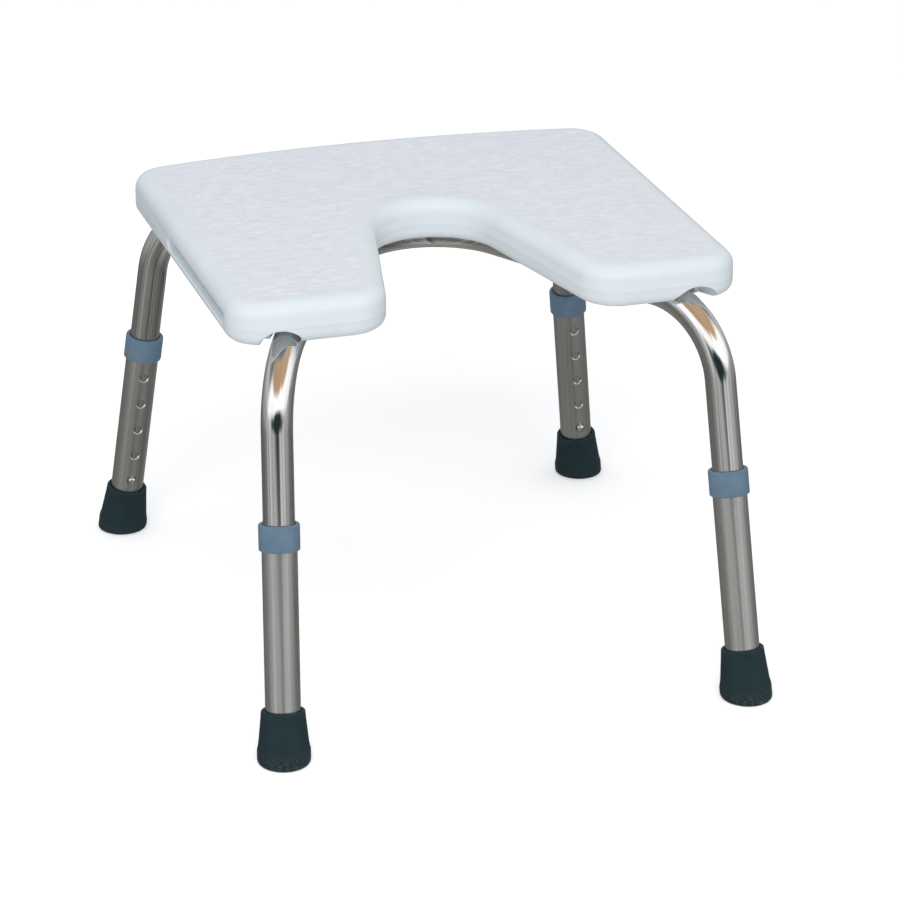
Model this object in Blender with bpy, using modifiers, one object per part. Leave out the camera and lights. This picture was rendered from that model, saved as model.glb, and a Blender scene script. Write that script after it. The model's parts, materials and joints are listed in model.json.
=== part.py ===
"""Height-adjustable shower stool with a U-shaped cut-out in a hollow moulded seat.

Two bent tubes carry the seat: the front hoop passes under the arms and round the cut-out,
and the rear hoop arches forward to meet it. Each of the four ends slides in a leg tube and
is held by a sprung button in one of the leg tube's five holes.
Units are metres, +Z is up, the front (the open side of the cut-out) faces -Y, and the
origin is on the floor in the middle of the stool.
"""
from math import atan2, asin, cos, pi, radians, sin, sqrt, tan

import bmesh
import bpy
from mathutils import Matrix, Vector

# Overall sizes
SEAT_HEIGHT = 0.350
SEAT_WIDTH = 0.418
SEAT_DEPTH = 0.355
SEAT_THICKNESS = 0.034

# Seat outline
BACK_BOW = 0.019
FRONT_CORNER_RADIUS = 0.028
BACK_CORNER_RADIUS = 0.032
CUTOUT_RADIUS = 0.0497
CUTOUT_CENTRE_FROM_FRONT = 0.1497
CUTOUT_FLARE = radians(13)
MOUTH_CORNER_RADIUS = 0.0345

# Seat section
SEAT_WALL = 0.003
TOP_EDGE_RADIUS = 0.012
BOTTOM_EDGE_RADIUS = 0.009
GRIP_LENGTH = 0.186
GRIP_HEIGHT = 0.0105
GRIP_DEPTH = 0.007
GRIP_LIP = 0.0095
GRIP_FROM_FRONT = 0.030
GRIP_CORNER = 0.004
CHANNEL_DEPTH = 0.0116
MOUTH_AROUND_TUBE = 0.0055
MOUTH_ABOVE_CHANNEL = 0.0009
MOUTH_INSIDE = 0.014
VENT_RADIUS = 0.003
VENT_FROM_BACK = 0.030

# Hoops
HOOP_RADIUS = 0.0125
HOOP_WALL = 0.0012
CHANNEL_CLEARANCE = 0.0004
FRONT_LEG_BEND = 0.072
REAR_LEG_BEND = 0.076
CUTOUT_TO_HOOP = 0.0228
HOOPS_APART = 0.0025
REAR_HOOP_ARC = 0.070
CORNER_INSET = 0.0292
FRONT_CORNER_OUT = 0.0138
REAR_CORNER_OUT = 0.0094
FRONT_LEAN_FORWARD = radians(11.34)
FRONT_LEAN_OUT = radians(2.54)
REAR_LEAN_BACK = radians(6.05)
REAR_LEAN_OUT = radians(6.45)

# Telescopic legs, measured up each leg's axis from the floor
HOLE_COUNT = 5
HOLE_PITCH = 0.0254
HOLE_ABOVE_FOOT = 0.0118
HOLE_RADIUS = 0.0035
HOOP_BELOW_HOLE = 0.014
LEG_WALL = 0.0012
LEG_ABOVE_HOLES = 0.0321
COLLAR_WALL = 0.0019
COLLAR_HEIGHT = 0.021
COLLAR_LIP = 0.003
COLLAR_ROUND = 0.0016
COLLAR_CHAMFER = 0.0008

# Rubber feet
FOOT_HEIGHT = 0.0415
FOOT_WALL = 0.0032
FOOT_FLARE = 0.0037
FOOT_FLARE_HEIGHT = 0.0095
FOOT_RIM_ROUND = 0.0025
FOOT_SOLE_THICKNESS = 0.0085
WASHER_THICKNESS = 0.0015
WASHER_BORE_RADIUS = 0.005

# Snap buttons and their springs
BUTTON_PROUD = 0.0028
BUTTON_DOME = 0.0023
BUTTON_FLANGE_LAP = 0.0007
BUTTON_FLANGE_THICKNESS = 0.0007
SPRING_THICKNESS = 0.0006
SPRING_WIDTH = 0.007
SPRING_ARM = 0.034
SPRING_TIP_BELOW_HOLE = 0.006
SPRING_PAD = 0.008
SPRING_NECK = 0.006
SPRING_FOLD_RADIUS = 0.0025
SPRING_SWEEP_RADIUS = 0.020

# Seat screws
SCREW_RADIUS = 0.0030
SCREW_TIP_CHAMFER = 0.0006
SCREW_HEAD_RADIUS = 0.0055
SCREW_HEAD_HEIGHT = 0.0033
SCREW_HEAD_CHAMFER = 0.0015
SCREW_SOCKET_RADIUS = 0.0021
SCREW_SOCKET_DEPTH = 0.0018
SCREW_SOCKET_SIDES = 6
SCREW_IN_SEAT = 0.0124
RUN_SCREW_SHARE = 0.58
SADDLE_RADIUS = 0.0075
SADDLE_THICKNESS = 0.0032
INSERT_WALL = 0.0007
INSERT_LENGTH = 0.012
INSERT_ROOM = 0.003
PILLAR_WALL = 0.0037

# Clearances between pieces, and how far cutters run past the faces they cut
GAP = 0.0003
SLIDE_CLEARANCE = 0.0003
COLLAR_CLEARANCE = 0.0004
BUTTON_CLEARANCE = 0.0002
CUT_PAST = 0.002
CUT_PAST_MOUTH = 0.030

# Mesh fineness
TUBE_RESOLUTION = 6
TURN_STEPS = 20
SMALL_STEPS = 12
LEG_BEND_STEPS = 8
HOOP_ARC_STEPS = 12
CUTOUT_STEPS = 16
MOUTH_STEPS = 6
CORNER_STEPS = 5
BOW_STEPS = 8
SMOOTH_ANGLE = radians(35)
QUARTER = (0, pi / 6, pi / 3, pi / 2)

# Radii that follow from the pieces inside them
LEG_BORE = HOOP_RADIUS + SLIDE_CLEARANCE
LEG_RADIUS = LEG_BORE + LEG_WALL
SLEEVE = LEG_RADIUS + GAP
COLLAR_RADIUS = SLEEVE + COLLAR_WALL
FOOT_TOP_RADIUS = SLEEVE + FOOT_WALL
FOOT_SOLE_RADIUS = FOOT_TOP_RADIUS + FOOT_FLARE
BUTTON_RADIUS = HOLE_RADIUS - BUTTON_CLEARANCE
BUTTON_FLANGE_RADIUS = HOLE_RADIUS + BUTTON_FLANGE_LAP
SCREW_HOLE_RADIUS = SCREW_RADIUS + GAP
INSERT_RADIUS = SCREW_HOLE_RADIUS + INSERT_WALL
PILLAR_RADIUS = INSERT_RADIUS + GAP + PILLAR_WALL
MOUTH_ARCH_RADIUS = HOOP_RADIUS + MOUTH_AROUND_TUBE

# Heights and places that follow from the sizes above
SEAT_BOTTOM = SEAT_HEIGHT - SEAT_THICKNESS
CHANNEL_RADIUS = HOOP_RADIUS + CHANNEL_CLEARANCE
RUN_HEIGHT = SEAT_BOTTOM + CHANNEL_DEPTH - CHANNEL_RADIUS
FRONT_HOOP_ARC = CUTOUT_RADIUS + CUTOUT_TO_HOOP
LOWEST_HOLE = FOOT_HEIGHT + HOLE_ABOVE_FOOT
TOP_HOLE = LOWEST_HOLE + (HOLE_COUNT - 1) * HOLE_PITCH
LEG_TOP = TOP_HOLE + LEG_ABOVE_HOLES
COLLAR_TOP = LEG_TOP + GAP + COLLAR_LIP
LEG_BOTTOM = FOOT_SOLE_THICKNESS + GAP + WASHER_THICKNESS + GAP
HOOP_END = LOWEST_HOLE - HOOP_BELOW_HOLE

# The foot points under the hoops' corners, seen from the middle of the seat
FRONT_FOOT_Y = -SEAT_DEPTH / 2 - FRONT_CORNER_OUT - RUN_HEIGHT * tan(FRONT_LEAN_FORWARD)
REAR_FOOT_Y = SEAT_DEPTH / 2 + REAR_CORNER_OUT + RUN_HEIGHT * tan(REAR_LEAN_BACK)
SEAT_Y = -(FRONT_FOOT_Y + REAR_FOOT_Y) / 2
SEAT_FRONT = SEAT_Y - SEAT_DEPTH / 2
SEAT_BACK = SEAT_Y + SEAT_DEPTH / 2
CUTOUT_CENTRE = SEAT_FRONT + CUTOUT_CENTRE_FROM_FRONT


# Scene and objects

def clear_scene():
    for old in list(bpy.data.objects):
        bpy.data.objects.remove(old)


def new_collection(name):
    collection = bpy.data.collections.new(name)
    bpy.context.scene.collection.children.link(collection)
    return collection


def new_material(name, colour, roughness, metallic):
    material = bpy.data.materials.new(name)
    material.use_nodes = True
    shader = material.node_tree.nodes["Principled BSDF"]
    shader.inputs["Base Color"].default_value = (*colour, 1)
    shader.inputs["Roughness"].default_value = roughness
    shader.inputs["Metallic"].default_value = metallic
    material.diffuse_color = (*colour, 1)
    return material


def add_part(name, mesh, material, parent=None):
    part = bpy.data.objects.new(name, mesh)
    STOOL.objects.link(part)
    mesh.materials.clear()
    mesh.materials.append(material)
    part.parent = parent
    return part


def add_cutter(name, mesh, parent=None):
    cutter = bpy.data.objects.new(name, mesh)
    CUTTERS.objects.link(cutter)
    cutter.hide_render = True
    cutter.display_type = "WIRE"
    cutter.parent = parent
    return cutter


def add_empty(name, matrix):
    empty = bpy.data.objects.new(name, None)
    STOOL.objects.link(empty)
    empty.empty_display_size = 0.03
    empty.matrix_world = matrix
    return empty


def shade_smooth(mesh):
    mesh.shade_smooth()
    mesh.set_sharp_from_angle(angle=SMOOTH_ANGLE)


def cut(part, *cutters):
    for cutter in cutters:
        boolean = part.modifiers.new("Cut " + cutter.name, "BOOLEAN")
        boolean.operation = "DIFFERENCE"
        boolean.solver = "EXACT"
        boolean.object = cutter


# Shapes

def rounded(corners, radii, steps, closed):
    """A path through the corners, each turned on an arc of its own radius."""
    path = []
    count = len(corners)
    for i, (corner, radius, divisions) in enumerate(zip(corners, radii, steps)):
        if radius <= 0 or (not closed and i in (0, count - 1)):
            path.append(corner.copy())
            continue
        back = (corners[i - 1] - corner).normalized()
        on = (corners[(i + 1) % count] - corner).normalized()
        half = back.angle(on) / 2
        centre = corner + (back + on).normalized() * radius / sin(half)
        start = corner + back * radius / tan(half) - centre
        end = corner + on * radius / tan(half) - centre
        sweep = start.angle(end)
        for k in range(divisions + 1):
            share = k / divisions
            arm = (start * sin((1 - share) * sweep) + end * sin(share * sweep)) / sin(sweep)
            path.append(centre + arm)
    return path


def curve_mesh(name, points, closed, settings):
    """The mesh of a poly curve through the points, with its caps welded."""
    curve = bpy.data.curves.new(name, "CURVE")
    curve.dimensions = settings.pop("dimensions", "3D")
    spline = curve.splines.new("POLY")
    spline.points.add(len(points) - 1)
    for target, point in zip(spline.points, points):
        target.co = (*point, 1)
    spline.use_cyclic_u = closed
    for key, value in settings.items():
        setattr(curve, key, value)
    guide = bpy.data.objects.new(name, curve)
    CUTTERS.objects.link(guide)
    bpy.context.view_layer.update()
    evaluated = guide.evaluated_get(bpy.context.evaluated_depsgraph_get())
    mesh = bpy.data.meshes.new_from_object(evaluated)
    bpy.data.objects.remove(guide)
    bm = bmesh.new()
    bm.from_mesh(mesh)
    bmesh.ops.remove_doubles(bm, verts=bm.verts, dist=1e-6)
    bm.to_mesh(mesh)
    bm.free()
    mesh.name = name
    return mesh


def rod_mesh(name, points, radius, hollow=False):
    settings = {"bevel_depth": radius, "bevel_resolution": TUBE_RESOLUTION,
                "use_fill_caps": not hollow}
    return curve_mesh(name, points, False, settings)


def slab_mesh(name, outline, low, high):
    """A flat plate of the outline between two heights, its faces left whole."""
    settings = {"dimensions": "2D", "fill_mode": "BOTH", "extrude": (high - low) / 2}
    mesh = curve_mesh(name, outline, True, settings)
    bm = bmesh.new()
    bm.from_mesh(mesh)
    bmesh.ops.translate(bm, verts=bm.verts, vec=(0, 0, (high + low) / 2))
    bmesh.ops.dissolve_limit(bm, angle_limit=radians(0.1), verts=bm.verts, edges=bm.edges)
    bmesh.ops.recalc_face_normals(bm, faces=bm.faces)
    bm.to_mesh(mesh)
    bm.free()
    return mesh


def bevel_at(mesh, height, width, segments):
    """Round the edges that lie at one height."""
    bm = bmesh.new()
    bm.from_mesh(mesh)
    edges = [e for e in bm.edges if all(abs(v.co.z - height) < 1e-6 for v in e.verts)]
    bmesh.ops.bevel(bm, geom=edges, offset=width, segments=segments, profile=0.5,
                    affect="EDGES")
    bm.to_mesh(mesh)
    bm.free()


def box_mesh(name, low, high, round_edges=0.0, along=0):
    """A box between two corners, its four edges along one axis rounded."""
    bm = bmesh.new()
    bmesh.ops.create_cube(bm, size=1)
    size = Vector(high) - Vector(low)
    middle = (Vector(high) + Vector(low)) / 2
    bmesh.ops.scale(bm, vec=size, verts=bm.verts)
    bmesh.ops.translate(bm, vec=middle, verts=bm.verts)
    if round_edges:
        edges = [e for e in bm.edges
                 if abs((e.verts[0].co - e.verts[1].co).normalized()[along]) > 0.99]
        bmesh.ops.bevel(bm, geom=edges, offset=round_edges, segments=3, profile=0.5,
                        affect="EDGES")
    mesh = bpy.data.meshes.new(name)
    bm.to_mesh(mesh)
    bm.free()
    return mesh


def cylinder_mesh(name, radius, low, high, steps=SMALL_STEPS, places=((0, 0),)):
    """Upright cylinders between two heights, one at each place."""
    bm = bmesh.new()
    for x, y in places:
        middle = Matrix.Translation((x, y, (low + high) / 2))
        bmesh.ops.create_cone(bm, cap_ends=True, segments=steps, radius1=radius,
                              radius2=radius, depth=high - low, matrix=middle)
    mesh = bpy.data.meshes.new(name)
    bm.to_mesh(mesh)
    bm.free()
    return mesh


def turned(name, profile, material, parent, steps=TURN_STEPS, closed=True):
    """A piece turned about its own Z axis; the profile runs down the outer side."""
    mesh = bpy.data.meshes.new(name)
    vertices = [(radius, 0, height) for radius, height in profile]
    edges = [(i, i + 1) for i in range(len(vertices) - 1)]
    if closed:
        edges.append((len(vertices) - 1, 0))
    mesh.from_pydata(vertices, edges, [])
    part = add_part(name, mesh, material, parent)
    screw = part.modifiers.new("Turn", "SCREW")
    screw.axis = "Z"
    screw.steps = steps
    screw.render_steps = steps
    screw.use_merge_vertices = True
    screw.merge_threshold = 0.00001
    screw.use_smooth_shade = True
    return part


# Seat

def seat_outline(inset):
    """The U-shaped outline, counter-clockwise, set in from the edge by the inset."""
    half = SEAT_WIDTH / 2 - inset
    front = SEAT_FRONT + inset
    bow_radius = ((SEAT_WIDTH / 2) ** 2 + BACK_BOW ** 2) / (2 * BACK_BOW)
    bow_centre = SEAT_BACK + BACK_BOW - bow_radius
    bow_radius -= inset
    reach = asin(half / bow_radius)
    peak = CUTOUT_CENTRE + (CUTOUT_RADIUS + inset) / sin(CUTOUT_FLARE)
    mouth = (peak - front) * tan(CUTOUT_FLARE)

    corners = [Vector((mouth, front, 0)), Vector((half, front, 0))]
    radii = [MOUTH_CORNER_RADIUS - inset, FRONT_CORNER_RADIUS - inset]
    steps = [MOUTH_STEPS, CORNER_STEPS]
    for k in range(BOW_STEPS + 1):
        angle = reach * (1 - 2 * k / BOW_STEPS)
        corners.append(Vector((bow_radius * sin(angle), bow_centre + bow_radius * cos(angle), 0)))
        at_end = k in (0, BOW_STEPS)
        radii.append(BACK_CORNER_RADIUS - inset if at_end else 0)
        steps.append(CORNER_STEPS)
    corners += [Vector((-half, front, 0)), Vector((-mouth, front, 0)), Vector((0, peak, 0))]
    radii += [FRONT_CORNER_RADIUS - inset, MOUTH_CORNER_RADIUS - inset, CUTOUT_RADIUS + inset]
    steps += [CORNER_STEPS, MOUTH_STEPS, CUTOUT_STEPS]
    return rounded(corners, radii, steps, True)


def grip_mesh(name, side, grow):
    """The finger recess in one side wall, or the space kept solid around it."""
    outer = SEAT_WIDTH / 2 + GRIP_DEPTH
    inner = SEAT_WIDTH / 2 - GRIP_DEPTH - grow
    low_y = SEAT_FRONT + GRIP_FROM_FRONT - grow
    high_y = SEAT_FRONT + GRIP_FROM_FRONT + GRIP_LENGTH + grow
    low_z = SEAT_BOTTOM + GRIP_LIP - grow
    high_z = SEAT_BOTTOM + GRIP_LIP + GRIP_HEIGHT + grow
    low_x, high_x = sorted((side * inner, side * outer))
    return box_mesh(name, (low_x, low_y, low_z), (high_x, high_y, high_z), GRIP_CORNER, 0)


def build_seat(hoops, screw_places):
    seat = add_part("seat_panel", slab_mesh("seat_panel", seat_outline(0), SEAT_BOTTOM, SEAT_HEIGHT),
                    PLASTIC_WHITE)
    bevel_at(seat.data, SEAT_HEIGHT, TOP_EDGE_RADIUS, 4)
    bevel_at(seat.data, SEAT_BOTTOM, BOTTOM_EDGE_RADIUS, 3)
    shade_smooth(seat.data)

    low, high = SEAT_BOTTOM + SEAT_WALL, SEAT_HEIGHT - SEAT_WALL
    hollow = add_cutter("cut_hollow", slab_mesh("cut_hollow", seat_outline(SEAT_WALL), low, high))
    bevel_at(hollow.data, high, TOP_EDGE_RADIUS - SEAT_WALL, 3)
    bevel_at(hollow.data, low, BOTTOM_EDGE_RADIUS - SEAT_WALL, 2)
    pillars = cylinder_mesh("keep_pillars", PILLAR_RADIUS, SEAT_BOTTOM, SEAT_HEIGHT, SMALL_STEPS,
                            screw_places)
    cut(hollow, add_cutter("keep_pillars", pillars))
    for hoop in hoops:
        cut(hollow, hoop["keep_run"], *hoop["keep_mouths"])
        cut(seat, hoop["channel"], *hoop["mouths"])
    for side, hand in ((-1, "L"), (1, "R")):
        cut(hollow, add_cutter("keep_grip_" + hand, grip_mesh("keep_grip_" + hand, side, SEAT_WALL)))
        cut(seat, add_cutter("cut_grip_" + hand, grip_mesh("cut_grip_" + hand, side, 0)))
    roof = SEAT_BOTTOM + CHANNEL_DEPTH
    inserts = cylinder_mesh("cut_inserts", INSERT_RADIUS + GAP, roof - 2 * CUT_PAST,
                            roof + INSERT_LENGTH + INSERT_ROOM, SMALL_STEPS, screw_places)
    vent = cylinder_mesh("cut_vent", VENT_RADIUS, SEAT_BOTTOM - CUT_PAST, low + CUT_PAST,
                         SMALL_STEPS, [(0, SEAT_BACK + BACK_BOW - VENT_FROM_BACK)])
    cut(seat, hollow, add_cutter("cut_inserts", inserts), add_cutter("cut_vent", vent))


# Hoops

def leg_frame(corner, lean_x, lean_y, facing):
    """A leg's place: origin where its axis meets the floor, Z up the leg, Y to the holes."""
    foot = Vector((corner.x + RUN_HEIGHT * tan(lean_x), corner.y + RUN_HEIGHT * tan(lean_y), 0))
    up = (corner - foot).normalized()
    out = Vector((0, facing, 0))
    out = (out - up * out.dot(up)).normalized()
    across = out.cross(up)
    return Matrix.Translation(foot) @ Matrix((across, out, up)).transposed().to_4x4()


def tangent_apex(corner, centre_y, radius, facing):
    """Where the run from the corner, which touches the arc, crosses the middle plane."""
    toward = Vector((-corner.x, (centre_y - corner.y) * facing))
    heading = atan2(toward.x, toward.y) - asin(radius / toward.length)
    step = toward.x / tan(heading)
    return Vector((0, corner.y + step * facing, corner.z))


def run_place(corner, apex, radius, share):
    """A place along the straight run, as a share of it from the corner to the arc."""
    along = apex - corner
    half = Vector((along.x, along.y)).angle(Vector((0, along.y)))
    straight = along.length - radius / tan(half)
    return corner + along.normalized() * straight * share


def build_hoop(name, legs, corner, apex, arc_radius, leg_bend):
    """One bent tube, with the seat's channel for it and the channel's wider mouths."""
    left, right = legs
    other = Vector((-corner.x, corner.y, corner.z))
    ends = [left["frame"] @ Vector((0, 0, HOOP_END)), right["frame"] @ Vector((0, 0, HOOP_END))]
    path = rounded([ends[0], corner, apex, other, ends[1]],
                   [0, leg_bend, arc_radius, leg_bend, 0],
                   [0, LEG_BEND_STEPS, HOOP_ARC_STEPS, LEG_BEND_STEPS, 0], False)
    hoop = add_part(name, rod_mesh(name, path, HOOP_RADIUS, hollow=True), POLISHED_TUBE)
    shade_smooth(hoop.data)
    wall = hoop.modifiers.new("Wall", "SOLIDIFY")
    wall.thickness = HOOP_WALL
    wall.offset = -1

    outward = (corner - apex).normalized() * (MOUTH_INSIDE + CUT_PAST_MOUTH)
    mirrored = Vector((-outward.x, outward.y, outward.z))
    run = rounded([corner + outward, apex, other + mirrored], [0, arc_radius, 0],
                  [0, HOOP_ARC_STEPS, 0], False)
    parts = {"part": hoop, "mouths": [], "keep_mouths": []}
    parts["channel"] = add_cutter("cut_" + name, rod_mesh("cut_" + name, run, CHANNEL_RADIUS))
    keep = rod_mesh("keep_" + name, run, CHANNEL_RADIUS + SEAT_WALL)
    parts["keep_run"] = add_cutter("keep_" + name, keep)
    mouth_top = SEAT_BOTTOM + CHANNEL_DEPTH + MOUTH_ABOVE_CHANNEL
    drop = Vector((0, 0, mouth_top - MOUTH_ARCH_RADIUS - RUN_HEIGHT))
    for place, out, hand in ((corner, outward, "L"), (other, mirrored, "R")):
        inward = out.normalized() * -1
        wall_along = max(FRONT_CORNER_OUT, REAR_CORNER_OUT) / abs(inward.y) + MOUTH_INSIDE
        line = [place + out + drop, place + inward * wall_along + drop]
        arch = rod_mesh("cut_%s_mouth_%s" % (name, hand), line, MOUTH_ARCH_RADIUS)
        parts["mouths"].append(add_cutter("cut_%s_mouth_%s" % (name, hand), arch))
        line[1] += inward * SEAT_WALL
        arch = rod_mesh("keep_%s_mouth_%s" % (name, hand), line, MOUTH_ARCH_RADIUS + SEAT_WALL)
        parts["keep_mouths"].append(add_cutter("keep_%s_mouth_%s" % (name, hand), arch))
    return parts


# Legs

def build_leg(leg):
    """The sliding leg: tube with five holes, collar, rubber foot and the washer inside it."""
    frame, tag = leg["empty"], leg["tag"]
    tube = turned("leg_tube_" + tag, [(LEG_RADIUS, LEG_TOP), (LEG_RADIUS, LEG_BOTTOM),
                                      (LEG_BORE, LEG_BOTTOM), (LEG_BORE, LEG_TOP)],
                  SATIN_TUBE, frame)
    holes = bpy.data.meshes.new("cut_holes_" + tag)
    bm = bmesh.new()
    for k in range(HOLE_COUNT):
        place = Matrix.Translation((0, LEG_RADIUS, LOWEST_HOLE + k * HOLE_PITCH))
        bmesh.ops.create_cone(bm, cap_ends=True, segments=SMALL_STEPS, radius1=HOLE_RADIUS,
                              radius2=HOLE_RADIUS, depth=LEG_RADIUS,
                              matrix=place @ Matrix.Rotation(pi / 2, 4, "X"))
    bm.to_mesh(holes)
    bm.free()
    cut(tube, add_cutter("cut_holes_" + tag, holes, frame))

    base, round_over = COLLAR_TOP - COLLAR_HEIGHT, COLLAR_ROUND
    throat = HOOP_RADIUS + COLLAR_CLEARANCE
    ledge = LEG_TOP + GAP
    outside = [(COLLAR_RADIUS - round_over + round_over * sin(a), COLLAR_TOP - round_over
                + round_over * cos(a)) for a in QUARTER]
    turned("collar_" + tag, [(throat, COLLAR_TOP), *outside,
                             (COLLAR_RADIUS, base + COLLAR_CHAMFER),
                             (COLLAR_RADIUS - COLLAR_CHAMFER, base), (SLEEVE, base),
                             (SLEEVE, ledge), (throat, ledge)], COLLAR_PLASTIC, frame)

    rim = FOOT_RIM_ROUND
    top = [(FOOT_TOP_RADIUS - rim + rim * sin(a), FOOT_HEIGHT - rim + rim * cos(a))
           for a in QUARTER]
    under = -FOOT_SOLE_RADIUS / 2
    foot = turned("foot_" + tag, [(SLEEVE, FOOT_HEIGHT), *top,
                                  (FOOT_SOLE_RADIUS, FOOT_FLARE_HEIGHT), (FOOT_SOLE_RADIUS, under),
                                  (0, under), (0, FOOT_SOLE_THICKNESS),
                                  (SLEEVE, FOOT_SOLE_THICKNESS)], RUBBER, frame, closed=False)
    foot.data.edges.add(1)
    last = len(foot.data.vertices) - 1
    foot.data.edges[-1].vertices = (last, 0)
    cut(foot, FLOOR)

    seat = FOOT_SOLE_THICKNESS + GAP
    turned("foot_washer_" + tag, [(LEG_RADIUS, seat + WASHER_THICKNESS), (LEG_RADIUS, seat),
                                  (WASHER_BORE_RADIUS, seat),
                                  (WASHER_BORE_RADIUS, seat + WASHER_THICKNESS)],
           PLATED_STEEL, frame)


def build_button(leg):
    """The button that stands through the hoop and the leg tube, on the press axis."""
    tag = leg["tag"]
    inside = HOOP_RADIUS - HOOP_WALL
    flange_top = sqrt((inside - GAP) ** 2 - BUTTON_FLANGE_RADIUS ** 2) - GAP
    flange_low = flange_top - BUTTON_FLANGE_THICKNESS
    top = LEG_RADIUS + BUTTON_PROUD
    dome = [(BUTTON_RADIUS * sin(a), top - BUTTON_DOME * (1 - cos(a))) for a in QUARTER]
    aim = Matrix.Translation((0, 0, LOWEST_HOLE)) @ Matrix.Rotation(-pi / 2, 4, "X")
    press = add_empty("button_axis_" + tag, leg["frame"] @ aim)
    turned("button_" + tag, [*dome, (BUTTON_RADIUS, flange_top),
                             (BUTTON_FLANGE_RADIUS, flange_top),
                             (BUTTON_FLANGE_RADIUS, flange_low), (0, flange_low)],
           PLATED_STEEL, press, SMALL_STEPS, closed=False)
    hole = cylinder_mesh("cut_button_" + tag, HOLE_RADIUS, inside - CUT_PAST,
                         HOOP_RADIUS + CUT_PAST)
    cut(leg["hoop"], add_cutter("cut_button_" + tag, hole, press))

    near = flange_low - GAP - SPRING_THICKNESS / 2
    far = -sqrt((inside - 2 * GAP) ** 2 - (SPRING_WIDTH / 2) ** 2) + SPRING_THICKNESS / 2
    low, high = LOWEST_HOLE - SPRING_TIP_BELOW_HOLE, LOWEST_HOLE + SPRING_ARM
    pad = LOWEST_HOLE + SPRING_PAD
    line = [Vector((0, near, low)), Vector((0, near, pad)),
            Vector((0, near - SPRING_NECK, high)), Vector((0, far + SPRING_NECK, high)),
            Vector((0, far, pad)), Vector((0, far, low))]
    sweep, fold = SPRING_SWEEP_RADIUS, SPRING_FOLD_RADIUS
    bend = rounded(line, [0, sweep, fold, fold, sweep, 0], [0, 2, 4, 4, 2, 0], False)
    mesh = bpy.data.meshes.new("button_spring_" + tag)
    bm = bmesh.new()
    rows = [[bm.verts.new((side * SPRING_WIDTH / 2, p.y, p.z)) for side in (-1, 1)] for p in bend]
    for a, b in zip(rows, rows[1:]):
        bm.faces.new((a[0], a[1], b[1], b[0]))
    bm.to_mesh(mesh)
    bm.free()
    spring = add_part("button_spring_" + tag, mesh, SPRING_STEEL, leg["empty"])
    thick = spring.modifiers.new("Thickness", "SOLIDIFY")
    thick.thickness = SPRING_THICKNESS
    thick.offset = 0


# Seat fixings

def build_fixing(number, place, hoop):
    """A screw from below through a saddle washer and the tube into an insert in the seat."""
    empty = add_empty("fixing_%d" % number, Matrix.Translation((place[0], place[1], 0)))
    under_tube = RUN_HEIGHT - CHANNEL_RADIUS
    saddle_low = under_tube - SADDLE_THICKNESS
    saddle_high = RUN_HEIGHT - sqrt(CHANNEL_RADIUS ** 2 - SADDLE_RADIUS ** 2) + CUT_PAST / 2
    saddle = turned("saddle_washer_%d" % number,
                    [(SADDLE_RADIUS, saddle_high), (SADDLE_RADIUS, saddle_low),
                     (SCREW_HOLE_RADIUS, saddle_low), (SCREW_HOLE_RADIUS, saddle_high)],
                    FIXING_PLASTIC, empty, SMALL_STEPS)
    cut(saddle, hoop["channel"])

    roof = SEAT_BOTTOM + CHANNEL_DEPTH
    tip = roof + SCREW_IN_SEAT
    head_top = saddle_low - GAP
    head_low = head_top - SCREW_HEAD_HEIGHT
    screw = turned("seat_screw_%d" % number,
                   [(0, tip), (SCREW_RADIUS - SCREW_TIP_CHAMFER, tip),
                    (SCREW_RADIUS, tip - SCREW_TIP_CHAMFER), (SCREW_RADIUS, head_top),
                    (SCREW_HEAD_RADIUS, head_top),
                    (SCREW_HEAD_RADIUS, head_low + SCREW_HEAD_CHAMFER),
                    (SCREW_HEAD_RADIUS - SCREW_HEAD_CHAMFER, head_low), (0, head_low)],
                   PLATED_STEEL, empty, SMALL_STEPS, closed=False)
    socket = cylinder_mesh("cut_socket_%d" % number, SCREW_SOCKET_RADIUS, head_low - CUT_PAST,
                           head_low + SCREW_SOCKET_DEPTH, SCREW_SOCKET_SIDES)
    cut(screw, add_cutter("cut_socket_%d" % number, socket, empty))
    through = cylinder_mesh("cut_screw_hole_%d" % number, SCREW_HOLE_RADIUS,
                            under_tube - CUT_PAST, roof + CUT_PAST)
    cut(hoop["part"], add_cutter("cut_screw_hole_%d" % number, through, empty))

    low = roof + GAP
    turned("seat_insert_%d" % number, [(INSERT_RADIUS, low + INSERT_LENGTH), (INSERT_RADIUS, low),
                                       (SCREW_HOLE_RADIUS, low),
                                       (SCREW_HOLE_RADIUS, low + INSERT_LENGTH)],
           BRASS, empty, SMALL_STEPS)


# Assembly

clear_scene()
STOOL = new_collection("shower_stool")
CUTTERS = new_collection("cutters")
PLASTIC_WHITE = new_material("white_polyethylene", (0.83, 0.86, 0.89), 0.45, 0)
POLISHED_TUBE = new_material("polished_aluminium", (0.80, 0.80, 0.79), 0.12, 1)
SATIN_TUBE = new_material("satin_aluminium", (0.55, 0.55, 0.53), 0.35, 1)
COLLAR_PLASTIC = new_material("blue_grey_plastic", (0.14, 0.22, 0.30), 0.45, 0)
RUBBER = new_material("dark_rubber", (0.02, 0.035, 0.045), 0.7, 0)
PLATED_STEEL = new_material("plated_steel", (0.62, 0.62, 0.60), 0.25, 1)
SPRING_STEEL = new_material("spring_steel", (0.40, 0.41, 0.43), 0.35, 1)
FIXING_PLASTIC = new_material("grey_nylon", (0.35, 0.36, 0.37), 0.5, 0)
BRASS = new_material("brass", (0.72, 0.53, 0.24), 0.3, 1)

REACH = SEAT_WIDTH + SEAT_DEPTH
FLOOR = add_cutter("cut_floor", box_mesh("cut_floor", (-REACH, -REACH, -REACH), (REACH, REACH, 0)))

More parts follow.
